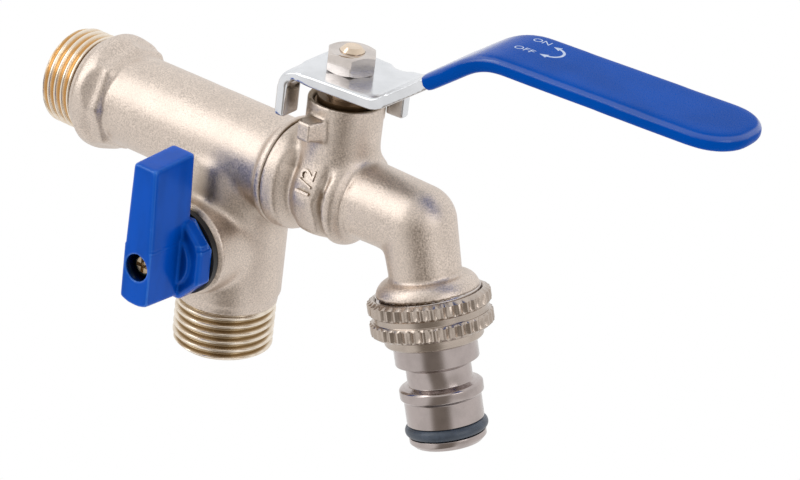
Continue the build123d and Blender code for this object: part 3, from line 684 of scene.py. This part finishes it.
def relax(mesh, passes, weight, back=0.0):
    """Round a mesh by moving each point towards its neighbours, by its own weight, and back by a share of that."""
    count = len(mesh.vertices)
    spots = spots_of(mesh)
    ends = np.zeros(len(mesh.edges) * 2, int)
    mesh.edges.foreach_get("vertices", ends)
    first, second = ends.reshape(-1, 2).T
    links = np.bincount(first, minlength=count) + np.bincount(second, minlength=count)
    share = weight(spots) if callable(weight) else np.full(count, weight)
    for number in range(passes):
        total = np.zeros_like(spots)
        for axis in range(3):
            total[:, axis] = (np.bincount(first, spots[second, axis], count)
                              + np.bincount(second, spots[first, axis], count))
        pull = -back if back and number % 2 else 1.0
        spots += pull * share[:, None] * (total / links[:, None] - spots)
    move_to(mesh, spots)


def bridge(bm, low, high):
    """Faces between two rings of points."""
    for step in range(len(low)):
        after = (step + 1) % len(low)
        bm.faces.new((low[step], low[after], high[after], high[step]))


def thread_tube(frame_of, end, bore, shapes, run_out=RUN_OUT * MM):
    """A closed tube on its own Z from 0, with a helical thread outside; frame_of places it. All in metres."""
    around, per_turn = 144, 22
    rows = max(8, int(end / shapes.thread_pitch * per_turn))
    crest = THREAD_RADIUS * MM
    bm = bmesh.new()
    rings = []
    for z in np.linspace(0.0, end, rows + 1):
        ring = []
        for step in range(around):
            turn = step / around
            phase = (z / shapes.thread_pitch - turn) % 1.0
            flank = clamp((abs(2 * phase - 1) - THREAD_CREST) / THREAD_FLANK)
            groove = 0.5 - 0.5 * cos(pi * flank)
            depth = shapes.thread_depth * clamp((end - z) / run_out)
            radius = min(crest - depth * groove, crest - LEAD_IN * MM + z)
            angle = 2 * pi * turn
            ring.append(bm.verts.new((radius * cos(angle), radius * sin(angle), z)))
        rings.append(ring)
    for z in (end, 0.0):
        rings.append([bm.verts.new((bore * cos(2 * pi * s / around), bore * sin(2 * pi * s / around), z))
                      for s in range(around)])
    for low, high in zip(rings, rings[1:] + rings[:1]):
        bridge(bm, low, high)
    bmesh.ops.transform(bm, matrix=frame_of, verts=bm.verts)
    return bm


def add_thread(name, tube, material, node):
    """Add a cut thread to the body, in place of a part of a solid."""
    piece = add_piece(name, finish_mesh(tube, name, THREAD_SHARP), material, "body")
    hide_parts(node)


def knurled_nut(frame_of, profile):
    """A closed turned mesh on its own Z from (height, radius, tooth depth) rows in millimetres."""
    per_tooth = 10
    around = KNURL_TEETH * per_tooth
    bm = bmesh.new()
    rings = []
    for z, radius, depth in profile:
        ring = []
        for step in range(around):
            flank = abs(2 * (step % per_tooth) / per_tooth - 1)
            reach = radius - depth * clamp((flank - KNURL_CREST) / KNURL_FLANK)
            angle = 2 * pi * step / around
            ring.append(bm.verts.new((reach * cos(angle) * MM, reach * sin(angle) * MM, z * MM)))
        rings.append(ring)
    for low, high in zip(rings, rings[1:] + rings[:1]):
        bridge(bm, low, high)
    bmesh.ops.transform(bm, matrix=frame_of, verts=bm.verts)
    return bm


def raised_text(words, size, depth, frame_of):
    """Letters as a closed mesh, lying in a frame's XY plane and centred on its origin. Metres."""
    curve = bpy.data.curves.new("letters", "FONT")
    curve.body = words
    curve.size = size
    curve.extrude = depth / 2
    curve.align_x, curve.align_y = "CENTER", "CENTER"
    mesh = take_mesh(put("letters", curve))
    mesh.transform(frame_of)
    return mesh


def axes_at(across, up, origin):
    """The matrix of a frame with its X and Y axes and its origin, in metres."""
    turn = Matrix((across, up, across.cross(up))).transposed().to_4x4()
    return Matrix.Translation(Vector(origin)) @ turn


def turned_to(direction, origin):
    """The matrix that takes Z to a direction and the origin to a point, in metres."""
    return Matrix.Translation(Vector(origin)) @ Vector((0, 0, 1)).rotation_difference(direction).to_matrix().to_4x4()


def bell(values, middle, width):
    """One at a middle, falling off to both sides."""
    return np.exp(-((values - middle) / width) ** 2)


def plateau(values, middle, half):
    """One within a half width of a middle, and nothing beyond twice that."""
    return np.clip(2.0 - np.abs(values - middle) / half, 0.0, 1.0)


def off_joint(spots):
    """The even softening of a forging, with none where the two bodies meet, so that the seam stays thin."""
    return FORGING_PULL * np.clip(np.abs(spots[:, 0] / MM - JOINT_X) - SEAM_HALF, 0.0, 1.0)


def near_junction(spots):
    """How strongly each point of the tee is softened: more where the branch and its boss leave the pipe."""
    mm = spots / MM
    out = np.hypot(mm[:, 0] - BRANCH_X, mm[:, 1])
    pipe = np.hypot(mm[:, 1], mm[:, 2])
    crease = bell(pipe, *PIPE_CREASE) * bell(out, *BRANCH_CREASE)
    depth = np.hypot(mm[:, 0] - BRANCH_X, mm[:, 2] - BRANCH_VALVE_Z)
    boss = bell(depth, *BOSS_CREASE) * (mm[:, 1] < BOSS_REACH[1]) * (mm[:, 1] > BOSS_REACH[0])
    return np.clip(np.maximum(crease, boss), 0.0, 1.0) * CREASE_PULL


def on_lever(x, y):
    """How far a place seen from above lies along and across the lever from the stem, all in millimetres."""
    x = x - STEM_X
    return x * cos(LEVER_TURN) + y * sin(LEVER_TURN), y * cos(LEVER_TURN) - x * sin(LEVER_TURN)


def near_tabs(spots):
    """How strongly each point of the lever is softened: more where its two tabs leave the plate."""
    along, across = on_lever(spots[:, 0] / MM, spots[:, 1] / MM)
    share = sum(np.exp(-np.hypot(along - a, across - b) ** 4 / TAB_BLEND ** 4) for a, b in TAB_ROOTS)
    return FACET_PULL * np.clip(share, 0.0, 1.0) * (spots[:, 2] / MM > TAB_LOW)


def along_lever(along, across, height):
    """A point of the frame from its place along and across the lever and its height, all in millimetres."""
    return (STEM_X + along * cos(LEVER_TURN) - across * sin(LEVER_TURN),
            along * sin(LEVER_TURN) + across * cos(LEVER_TURN), height)


def add_block(bm, front, root):
    """Add a drafted block to a mesh from its front and root corners in millimetres, as four points each."""
    corners = [bm.verts.new(Vector(point) * MM) for point in (*front, *root)]
    made = bmesh.ops.convex_hull(bm, input=corners)
    bmesh.ops.recalc_face_normals(bm, faces=[f for f in made["geom"] if isinstance(f, bmesh.types.BMFace)])


def below_tower(spots):
    """One on the pipe's sides and bottom, and nothing on the tower."""
    return np.clip((TOWER_ROOT - spots[:, 2] / MM) / TOWER_FADE, 0.0, 1.0)


def on_collar(spots):
    """How strongly the inlet collar's facets are softened."""
    return FACET_PULL * plateau(spots[:, 0] / MM, *COLLAR)


def on_band(spots):
    """How strongly the band's facets are softened."""
    mm = spots / MM
    ring = np.hypot(mm[:, 1], mm[:, 2])
    share = plateau(mm[:, 0], *BAND) * (ring > BAND_RING)
    return FACET_PULL * share * below_tower(spots)


def sink_rings(mesh):
    """Deepen the forged valleys round the tap body."""
    spots = spots_of(mesh)
    mm = spots / MM
    ring = np.hypot(mm[:, 1], mm[:, 2])
    sink = sum(depth * bell(mm[:, 0], place, half) for place, depth, half in VALLEYS)
    sink *= below_tower(spots) * np.clip((ring - VALLEY_WALL) / VALLEY_FADE, 0.0, 1.0)
    spots[:, 1:] *= (1 - sink / np.maximum(ring, 1.0))[:, None]
    move_to(mesh, spots)


def near_tower(spots):
    """How strongly each point of the tap body is softened: more at the tower's foot and in the spout's crook."""
    mm = spots / MM
    out = np.hypot(mm[:, 0] - STEM_X, mm[:, 1])
    foot = bell(out, *TOWER_CREASE) * bell(mm[:, 2], *TOWER_FOOT)
    crook = np.exp(-(((mm[:, 0] - CROOK[0]) / CROOK_WIDTH) ** 2 + ((mm[:, 2] - CROOK[1]) / CROOK_WIDTH) ** 2))
    return np.clip(foot + crook, 0.0, 1.0) * CREASE_PULL


class TAP_OT_tee(bpy.types.Operator):
    """Forged tee with its soft edges, and the cut threads at its inlet and branch"""

    bl_idname = "tap.tee"
    bl_label = "Tee and its threads"

    def execute(self, context):
        shapes, colours = context.scene.tap_shapes, context.scene.tap_colours
        bm = copy_solid("tee_body")
        cut_off(bm, (INLET_THREAD_END * MM, 0, 0), (-1, 0, 0))
        cut_off(bm, (0, 0, BRANCH_THREAD_TOP * MM), (0, 0, -1))
        mesh = even_mesh(bm, shapes.forging_grain, "tee_forging")
        relax(mesh, 2 * shapes.forging_softness, off_joint, FORGING_BACK)
        relax(mesh, JUNCTION_PASSES, near_junction)
        relax(mesh, COLLAR_PASSES, on_collar)
        nickel = bpy.data.materials.get("forged nickel") or forged_nickel(colours)
        forging = add_piece("tee_forging", mesh, nickel, "body")
        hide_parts("tee_body")
        inlet = thread_tube(turned_to(Vector((1, 0, 0)), (0, 0, 0)), (INLET_THREAD_END + THREAD_OVERLAP) * MM,
                            INLET_BORE * MM, shapes)
        brass = thread_metal("inlet thread brass", colours.crest, colours.inlet_root, (1, 0, 0), (0, 0, 0))
        add_thread("inlet_thread", inlet, brass, "tee_body")
        drop = (BRANCH_THREAD_TOP - BRANCH_END + THREAD_OVERLAP) * MM
        branch = thread_tube(turned_to(Vector((0, 0, 1)), (BRANCH_X * MM, 0, BRANCH_END * MM)), drop,
                             BRANCH_BORE * MM, shapes, run_out=BRANCH_RUN_OUT * MM)
        plated = thread_metal("branch thread nickel", colours.crest, colours.branch_root, (0, 0, 1),
                              (BRANCH_X * MM, 0, 0))
        add_thread("branch_thread", branch, plated, "tee_body")
        return {"FINISHED"}


class TAP_OT_tap_body(bpy.types.Operator):
    """Forged tap body with tower and spout, its spout thread and the size mark on its band"""

    bl_idname = "tap.tap_body"
    bl_label = "Tap body and spout"

    def execute(self, context):
        shapes, colours = context.scene.tap_shapes, context.scene.tap_colours
        corner = SPOUT_CORNER * MM
        bm = copy_solid("tap_body")
        cut_off(bm, corner + OUTLET * SPOUT_COLLAR * MM, OUTLET)
        add_block(bm, LUG_FRONT, LUG_ROOT)
        mesh = even_mesh(bm, shapes.forging_grain, "tap_forging")
        relax(mesh, 2 * shapes.forging_softness, off_joint, FORGING_BACK)
        relax(mesh, TOWER_PASSES, near_tower)
        relax(mesh, BAND_PASSES, on_band)
        sink_rings(mesh)
        nickel = bpy.data.materials.get("forged nickel") or forged_nickel(colours)
        forging = add_piece("tap_forging", mesh, nickel, "body")
        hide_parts("tap_body")
        length = (SPOUT_END - SPOUT_COLLAR + THREAD_OVERLAP) * MM
        thread = thread_tube(turned_to(-OUTLET, corner + OUTLET * SPOUT_END * MM), length,
                             SPOUT_BORE * MM, shapes)
        plated = thread_metal("spout thread nickel", colours.nut, colours.bright_nickel, OUTLET, corner)
        add_thread("spout_thread", thread, plated, "tap_body")
        place = axes_at(FLAT_UP, Vector((-1, 0, 0)), Vector(SIZE_MARK) * MM)
        mark = raised_text("1/2", SIZE_MARK_HEIGHT * MM, SIZE_MARK_DEPTH * MM, place)
        add_piece("size_mark", mark, nickel, "body")
        return {"FINISHED"}


class TAP_OT_lever(bpy.types.Operator):
    """Stamped lever with rounded edges, its nut, and the dipped sleeve"""

    bl_idname = "tap.lever"
    bl_label = "Lever and sleeve"

    def execute(self, context):
        shapes, colours = context.scene.tap_shapes, context.scene.tap_colours
        zinc = zinc_steel(colours)
        bm = copy_solid("lever")
        add_block(bm, *([along_lever(*spot, height) for spot in CORNER_PLAN] for height in CORNER_HEIGHTS))
        mesh = even_mesh(bm, shapes.stamped_grain, "lever_plate", self.square_to_lever())
        relax(mesh, shapes.stamped_softness, EDGE_PULL)
        self.widen_tab(mesh)
        relax(mesh, TAB_PASSES, near_tabs)
        piece = add_piece("lever_plate", mesh, zinc, "lever")
        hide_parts("lever")
        bm = copy_solid("lever_nut")
        round_edges(bm, shapes.turned_edge)
        nut = turned_metal("nut nickel", colours.nut, (0, 0, 1), 0.14)
        piece = add_piece("lever_hex_nut", finish_mesh(bm, "lever_hex_nut", 25), nut, "lever")
        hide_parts("lever_nut")
        sleeve = even_mesh(copy_solid("lever_sleeve"), shapes.dipped_grain, "dipped_sleeve", self.square_to_lever())
        relax(sleeve, shapes.dipped_softness, EDGE_PULL)
        piece = add_piece("dipped_sleeve", sleeve, dipped_plastic(colours), "lever")
        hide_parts("lever_sleeve")
        top = BVHTree.FromPolygons([v.co for v in sleeve.vertices], [p.vertices for p in sleeve.polygons])
        dress("main_stem", turned_metal("stem nickel", colours.stem, (0, 0, 1), 0.2))
        ink = print_ink(colours)
        for name, words, place in (("print_on", "ON", PRINT_ON), ("print_off", "OFF", PRINT_OFF)):
            mark = raised_text(words, PRINT_HEIGHT * MM, 2 * PRINT_HALF * MM, self.on_grip(*place))
            self.lay_print(mark, top)
            add_piece(name, mark, ink, "lever")
        mark = finish_mesh(self.turn_arrow(self.on_grip(*PRINT_ARROW)), "print_arrow")
        self.lay_print(mark, top)
        add_piece("print_arrow", mark, ink, "lever")
        return {"FINISHED"}

    def square_to_lever(self):
        """The matrix that takes the lever's own frame, at the stem, to the shared one."""
        return Matrix.Translation((STEM_X * MM, 0, 0)) @ Matrix.Rotation(LEVER_TURN, 4, "Z")

    def lay_print(self, mesh, top):
        """Lay a flat print on the sleeve's top, so that it follows the bend and stands up by its half thickness."""
        for vert in mesh.vertices:
            flat = self.grip_height(vert.co.x / MM, vert.co.y / MM) * MM
            found = top.ray_cast(Vector((vert.co.x, vert.co.y, 1.0)), Vector((0, 0, -1)))[0]
            vert.co.z += found.z - flat
        mesh.update()

    def widen_tab(self, mesh):
        """Bring the back tab's near side out to the plate's near edge."""
        for vert in mesh.vertices:
            along, across = on_lever(vert.co.x / MM, vert.co.y / MM)
            share = clamp((TAB_ACROSS - across) / TAB_FADE) * clamp(TAB_ALONG - along)
            out = min(TAB_OUT, max(0.0, TAB_OUT - TAB_SQUEEZE * (TAB_EDGE - across))) * share
            vert.co.x += out * sin(LEVER_TURN) * MM
            vert.co.y -= out * cos(LEVER_TURN) * MM
        mesh.update()

    def on_grip(self, x, y):
        """A frame on the sleeve's top at a place seen from above in millimetres, with X along the grip."""
        level = Vector((cos(LEVER_TURN), sin(LEVER_TURN), 0.0))
        along = level * cos(GRIP_PITCH) + Vector((0, 0, sin(GRIP_PITCH)))
        across = Vector((-sin(LEVER_TURN), cos(LEVER_TURN), 0.0))
        return axes_at(along, across, Vector((x, y, self.grip_height(x, y))) * MM)

    def grip_height(self, x, y):
        """Height of the grip's straight top at a place seen from above, in millimetres."""
        return GRIP_TOP + (on_lever(x, y)[0] - GRIP_START) * tan(GRIP_PITCH)

    def turn_arrow(self, frame_of):
        """A thin curved arrow with a head at each end, on a frame's XY plane."""
        bm = bmesh.new()
        rows = []
        for step in range(ARROW_STEPS + 1):
            angle = radians(-ARROW_SWEEP + 2 * ARROW_SWEEP * step / ARROW_STEPS)
            rows.append([(r * cos(angle) - ARROW_SHIFT, r * sin(angle))
                         for r in (ARROW_RADIUS - ARROW_HALF, ARROW_RADIUS + ARROW_HALF)])
        outline = [row[0] for row in rows] + [row[1] for row in reversed(rows)]
        for points in (outline, self.arrow_head(-1), self.arrow_head(1)):
            low = [bm.verts.new((x * MM, y * MM, -PRINT_HALF * MM)) for x, y in points]
            high = [bm.verts.new((x * MM, y * MM, PRINT_HALF * MM)) for x, y in points]
            bm.faces.new(high)
            bm.faces.new(list(reversed(low)))
            bridge(bm, low, high)
        bmesh.ops.transform(bm, matrix=frame_of, verts=bm.verts)
        return bm

    def arrow_head(self, side):
        """The three corners of an arrow head at one end of the arc."""
        angle = radians(ARROW_SWEEP * side)
        x, y = ARROW_RADIUS * cos(angle) - ARROW_SHIFT, ARROW_RADIUS * sin(angle)
        back = x + HEAD_BACK
        return [(x - HEAD_LENGTH, y + HEAD_LEAN * side), (back, y + HEAD_HALF), (back, y - HEAD_HALF)]


class TAP_OT_union(bpy.types.Operator):
    """Knurled nut, turned nipple, its ring and the flat washer"""

    bl_idname = "tap.union"
    bl_label = "Hose union"

    def execute(self, context):
        shapes, colours = context.scene.tap_shapes, context.scene.tap_colours
        bright = turned_metal("union nickel", colours.bright_nickel, OUTLET, 0.15, origin=SPOUT_CORNER * MM)
        bm = knurled_nut(turned_to(OUTLET, SPOUT_CORNER * MM), NUT_ROWS)
        warm = turned_metal("knurl nickel", colours.knurl, OUTLET, 0.2, origin=SPOUT_CORNER * MM)
        piece = add_piece("union_knurled_nut", finish_mesh(bm, "union_knurled_nut", 24), warm, "union_nut")
        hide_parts("union_nut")
        bm = copy_solid("hose_nipple")
        round_edges(bm, shapes.turned_edge)
        piece = add_piece("quick_nipple", finish_mesh(bm, "quick_nipple"), bright, "hose_nipple")
        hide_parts("hose_nipple")
        dress("nipple_ring", soft_rubber("ring rubber", colours.ring, 0.34))
        dress("union_washer", soft_rubber("washer rubber", colours.rubber, 0.55))
        return {"FINISHED"}


class TAP_OT_branch_handle(bpy.types.Operator):
    """Moulded branch handle, its screw and the dust washer behind it"""

    bl_idname = "tap.branch_handle"
    bl_label = "Branch handle"

    def execute(self, context):
        shapes, colours = context.scene.tap_shapes, context.scene.tap_colours
        mesh = even_mesh(copy_solid("branch_handle"), shapes.moulded_grain, "branch_fin_handle")
        relax(mesh, shapes.moulded_softness, EDGE_PULL)
        self.widen_fin(mesh)
        piece = add_piece("branch_fin_handle", mesh, moulded_plastic(colours), "branch_handle")
        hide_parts("branch_handle")
        dress("handle_screw", turned_metal("screw steel", colours.screw, (0, 1, 0), 0.2))
        dress("dust_washer", soft_rubber("dust washer rubber", colours.rubber, 0.45))
        return {"FINISHED"}

    def widen_fin(self, mesh):
        """Widen the blade towards its foot, so that its sides run straight into it."""
        for vert in mesh.vertices:
            height = vert.co.z / MM - BRANCH_VALVE_Z
            if height > FIN_ROOT and vert.co.y / MM < FIN_BACK:
                grow = FIN_GROW * clamp(height - FIN_ROOT) * max(0.0, (FIN_TOP - height) / FIN_TAPER)
                vert.co.x += (vert.co.x - BRANCH_X * MM) * grow
        mesh.update()


class TAP_OT_inner_works(bpy.types.Operator):
    """Balls, seats, seals, stems and gland, which show through the openings"""

    bl_idname = "tap.inner_works"
    bl_label = "Inner works"

    def execute(self, context):
        colours = context.scene.tap_colours
        ball, seal = polished_ball(), seal_plastic()
        rubber = soft_rubber("seal rubber", colours.rubber, 0.5)
        brass = turned_metal("bare brass", colours.brass, (0, 0, 1), 0.22)
        for node in ("main_ball", "branch_ball"):
            dress(node, ball)
        for node in ("rear_seat", "front_seat", "thrust_washer", "stem_packing", "branch_upper_seat",
                     "branch_lower_seat"):
            dress(node, seal)
        for node in ("branch_seal_inner", "branch_seal_outer"):
            dress(node, rubber)
        for node in ("branch_retainer", "branch_stem"):
            dress(node, brass)
        # The gland gets the dark colour above as painted shade.
        dress("gland_nut", turned_metal("dull gland", colours.gland, (0, 0, 1), 0.4))
        return {"FINISHED"}


def dark_wedge(finish, towards):
    """How far a direction points to the room's dark side, seen from above: 1 within a narrow wedge."""
    level = finish.vectors("NORMALIZE", finish.vectors("MULTIPLY", towards, (1, 1, 0)))
    cosine = finish.dot(level, (sin(DARK_SIDE), -cos(DARK_SIDE), 0))
    return cosine.span(cos(radians(DARK_OUTER)), cos(radians(DARK_INNER)))


class TAP_OT_stage(bpy.types.Operator):
    """Pale floor, soft light all round and the camera at the photograph's angle"""

    bl_idname = "tap.stage"
    bl_label = "Stage"

    def execute(self, context):
        scene, stage = context.scene, context.scene.tap_stage
        scene.view_settings.view_transform = "Standard"
        self.make_floor(stage)
        back = self.make_camera(scene)
        self.make_room(scene, stage, back)
        for name, power, place, size in LAMPS:
            self.make_light(name, getattr(stage, power), Vector(place), size)
        return {"FINISHED"}

    def make_floor(self, stage):
        """A wide floor, white to the camera; metal sees it darker on the room's dark side."""
        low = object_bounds()[0][2] - stage.floor_drop
        mesh = bpy.data.meshes.new("floor")
        corners = [(x * FLOOR_REACH, y * FLOOR_REACH, low) for x, y in ((-1, -1), (1, -1), (1, 1), (-1, 1))]
        mesh.from_pydata(corners, [], [(0, 1, 2, 3)])
        floor = put("floor", mesh)
        finish = new_finish("floor paper")
        camera = finish.node("ShaderNodeLightPath", out="Is Camera Ray")
        glossy = finish.node("ShaderNodeLightPath", out="Is Glossy Ray")
        wedge = dark_wedge(finish, finish.vectors("SUBTRACT", finish.place(), (MIDDLE_X * MM, 0, 0)))
        colour = finish.mix(camera, finish.mix(wedge, PALE_FLOOR, ROOM_DARK), WHITE)
        white = finish.node("ShaderNodeEmission", {}, {"Color": colour, "Strength": 1.0})
        fibre = finish.noise(3 * MM, 3.0)
        finish.set(Base_Color=shade(stage.floor, 1.0), Roughness=0.8 + 0.1 * fibre)
        paper = Wire(finish, finish.tree.nodes["Principled BSDF"].outputs[0])
        mixed = finish.node("ShaderNodeMixShader", {}, {0: camera + glossy, 1: paper, 2: white})
        finish.feed(finish.tree.nodes["Material Output"].inputs["Surface"], mixed)
        mesh.materials.append(finish.owner)
        floor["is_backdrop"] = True

    def make_camera(self, scene):
        """The camera that the photograph was taken with. Gives the direction from the part to it."""
        az, el, roll = CAMERA_AZIMUTH, CAMERA_ELEVATION, CAMERA_ROLL
        back = Vector((sin(az) * cos(el), -cos(az) * cos(el), sin(el)))
        right = Vector((0, 0, 1)).cross(back).normalized()
        up = back.cross(right)
        across = cos(roll) * right + sin(roll) * up
        above = cos(roll) * up - sin(roll) * right
        depth = FOCAL / PIXELS_PER_MM
        place = Vector((BRANCH_X, 0, 0)) + back * depth
        place -= across * (AIM_PIXEL[0] - PICTURE[0] / 2) * depth / FOCAL
        place += above * (AIM_PIXEL[1] - PICTURE[1] / 2) * depth / FOCAL
        data = bpy.data.cameras.new("camera")
        data.sensor_width = SENSOR
        data.lens = SENSOR * FOCAL / PICTURE[0]
        data.clip_start = 10 * MM
        camera = put("camera", data)
        turn = Matrix((across, above, back)).transposed().to_4x4()
        camera.matrix_world = Matrix.Translation(place * MM) @ turn
        scene.camera = camera
        return back

    def make_room(self, scene, stage, back):
        """White all round, a little brighter behind the part, with the room's dark side low in front."""
        world = bpy.data.worlds.new("room")
        scene.world = world
        finish = Finish(world)
        towards = finish.node("ShaderNodeTexCoord")
        behind = Vector((-back.x, -back.y, back.z)).normalized()
        tone = finish.mix(finish.dot(towards, behind).span(-0.7, 0.9), ROOM_FRONT, WHITE)
        low = 1 - finish.dot(towards, (0, 0, 1)).span(0.1, 0.5)
        tone = finish.mix(dark_wedge(finish, towards) * low, tone, ROOM_DARK)
        shader = finish.tree.nodes["Background"]
        finish.feed(shader.inputs["Color"], tone)
        finish.feed(shader.inputs["Strength"], stage.room_light)

    def make_light(self, name, power, place, size):
        """A soft square lamp that aims at the part."""
        light = bpy.data.lights.new(name, "AREA")
        light.energy = power
        light.size = size
        turn = (LAMP_AIM - place).to_track_quat("-Z", "Y").to_matrix().to_4x4()
        put(name, light).matrix_world = Matrix.Translation(place) @ turn


STEPS = (TAP_OT_tee, TAP_OT_tap_body, TAP_OT_lever, TAP_OT_union, TAP_OT_branch_handle, TAP_OT_inner_works,
         TAP_OT_stage)


class TAP_PT_steps(bpy.types.Panel):
    """The tap's pieces, in the order in which they are made"""

    bl_idname = "TAP_PT_steps"
    bl_label = "Hose tap"
    bl_space_type = "VIEW_3D"
    bl_region_type = "UI"
    bl_category = "Hose tap"

    def draw(self, context):
        for step in STEPS:
            self.layout.operator(step.bl_idname)


CLASSES = (TapShapes, TapColours, TapStage) + STEPS + (TAP_PT_steps,)


def register():
    for cls in CLASSES:
        bpy.utils.register_class(cls)
    bpy.types.Scene.tap_shapes = PointerProperty(type=TapShapes)
    bpy.types.Scene.tap_colours = PointerProperty(type=TapColours)
    bpy.types.Scene.tap_stage = PointerProperty(type=TapStage)


def unregister():
    del bpy.types.Scene.tap_stage, bpy.types.Scene.tap_colours, bpy.types.Scene.tap_shapes
    for cls in reversed(CLASSES):
        bpy.utils.unregister_class(cls)


def main():
    """Make every piece and the stage."""
    register()
    bpy.ops.tap.tee()
    bpy.ops.tap.tap_body()
    bpy.ops.tap.lever()
    bpy.ops.tap.union()
    bpy.ops.tap.branch_handle()
    bpy.ops.tap.inner_works()
    bpy.ops.tap.stage()


if __name__ == "__main__":
    main()
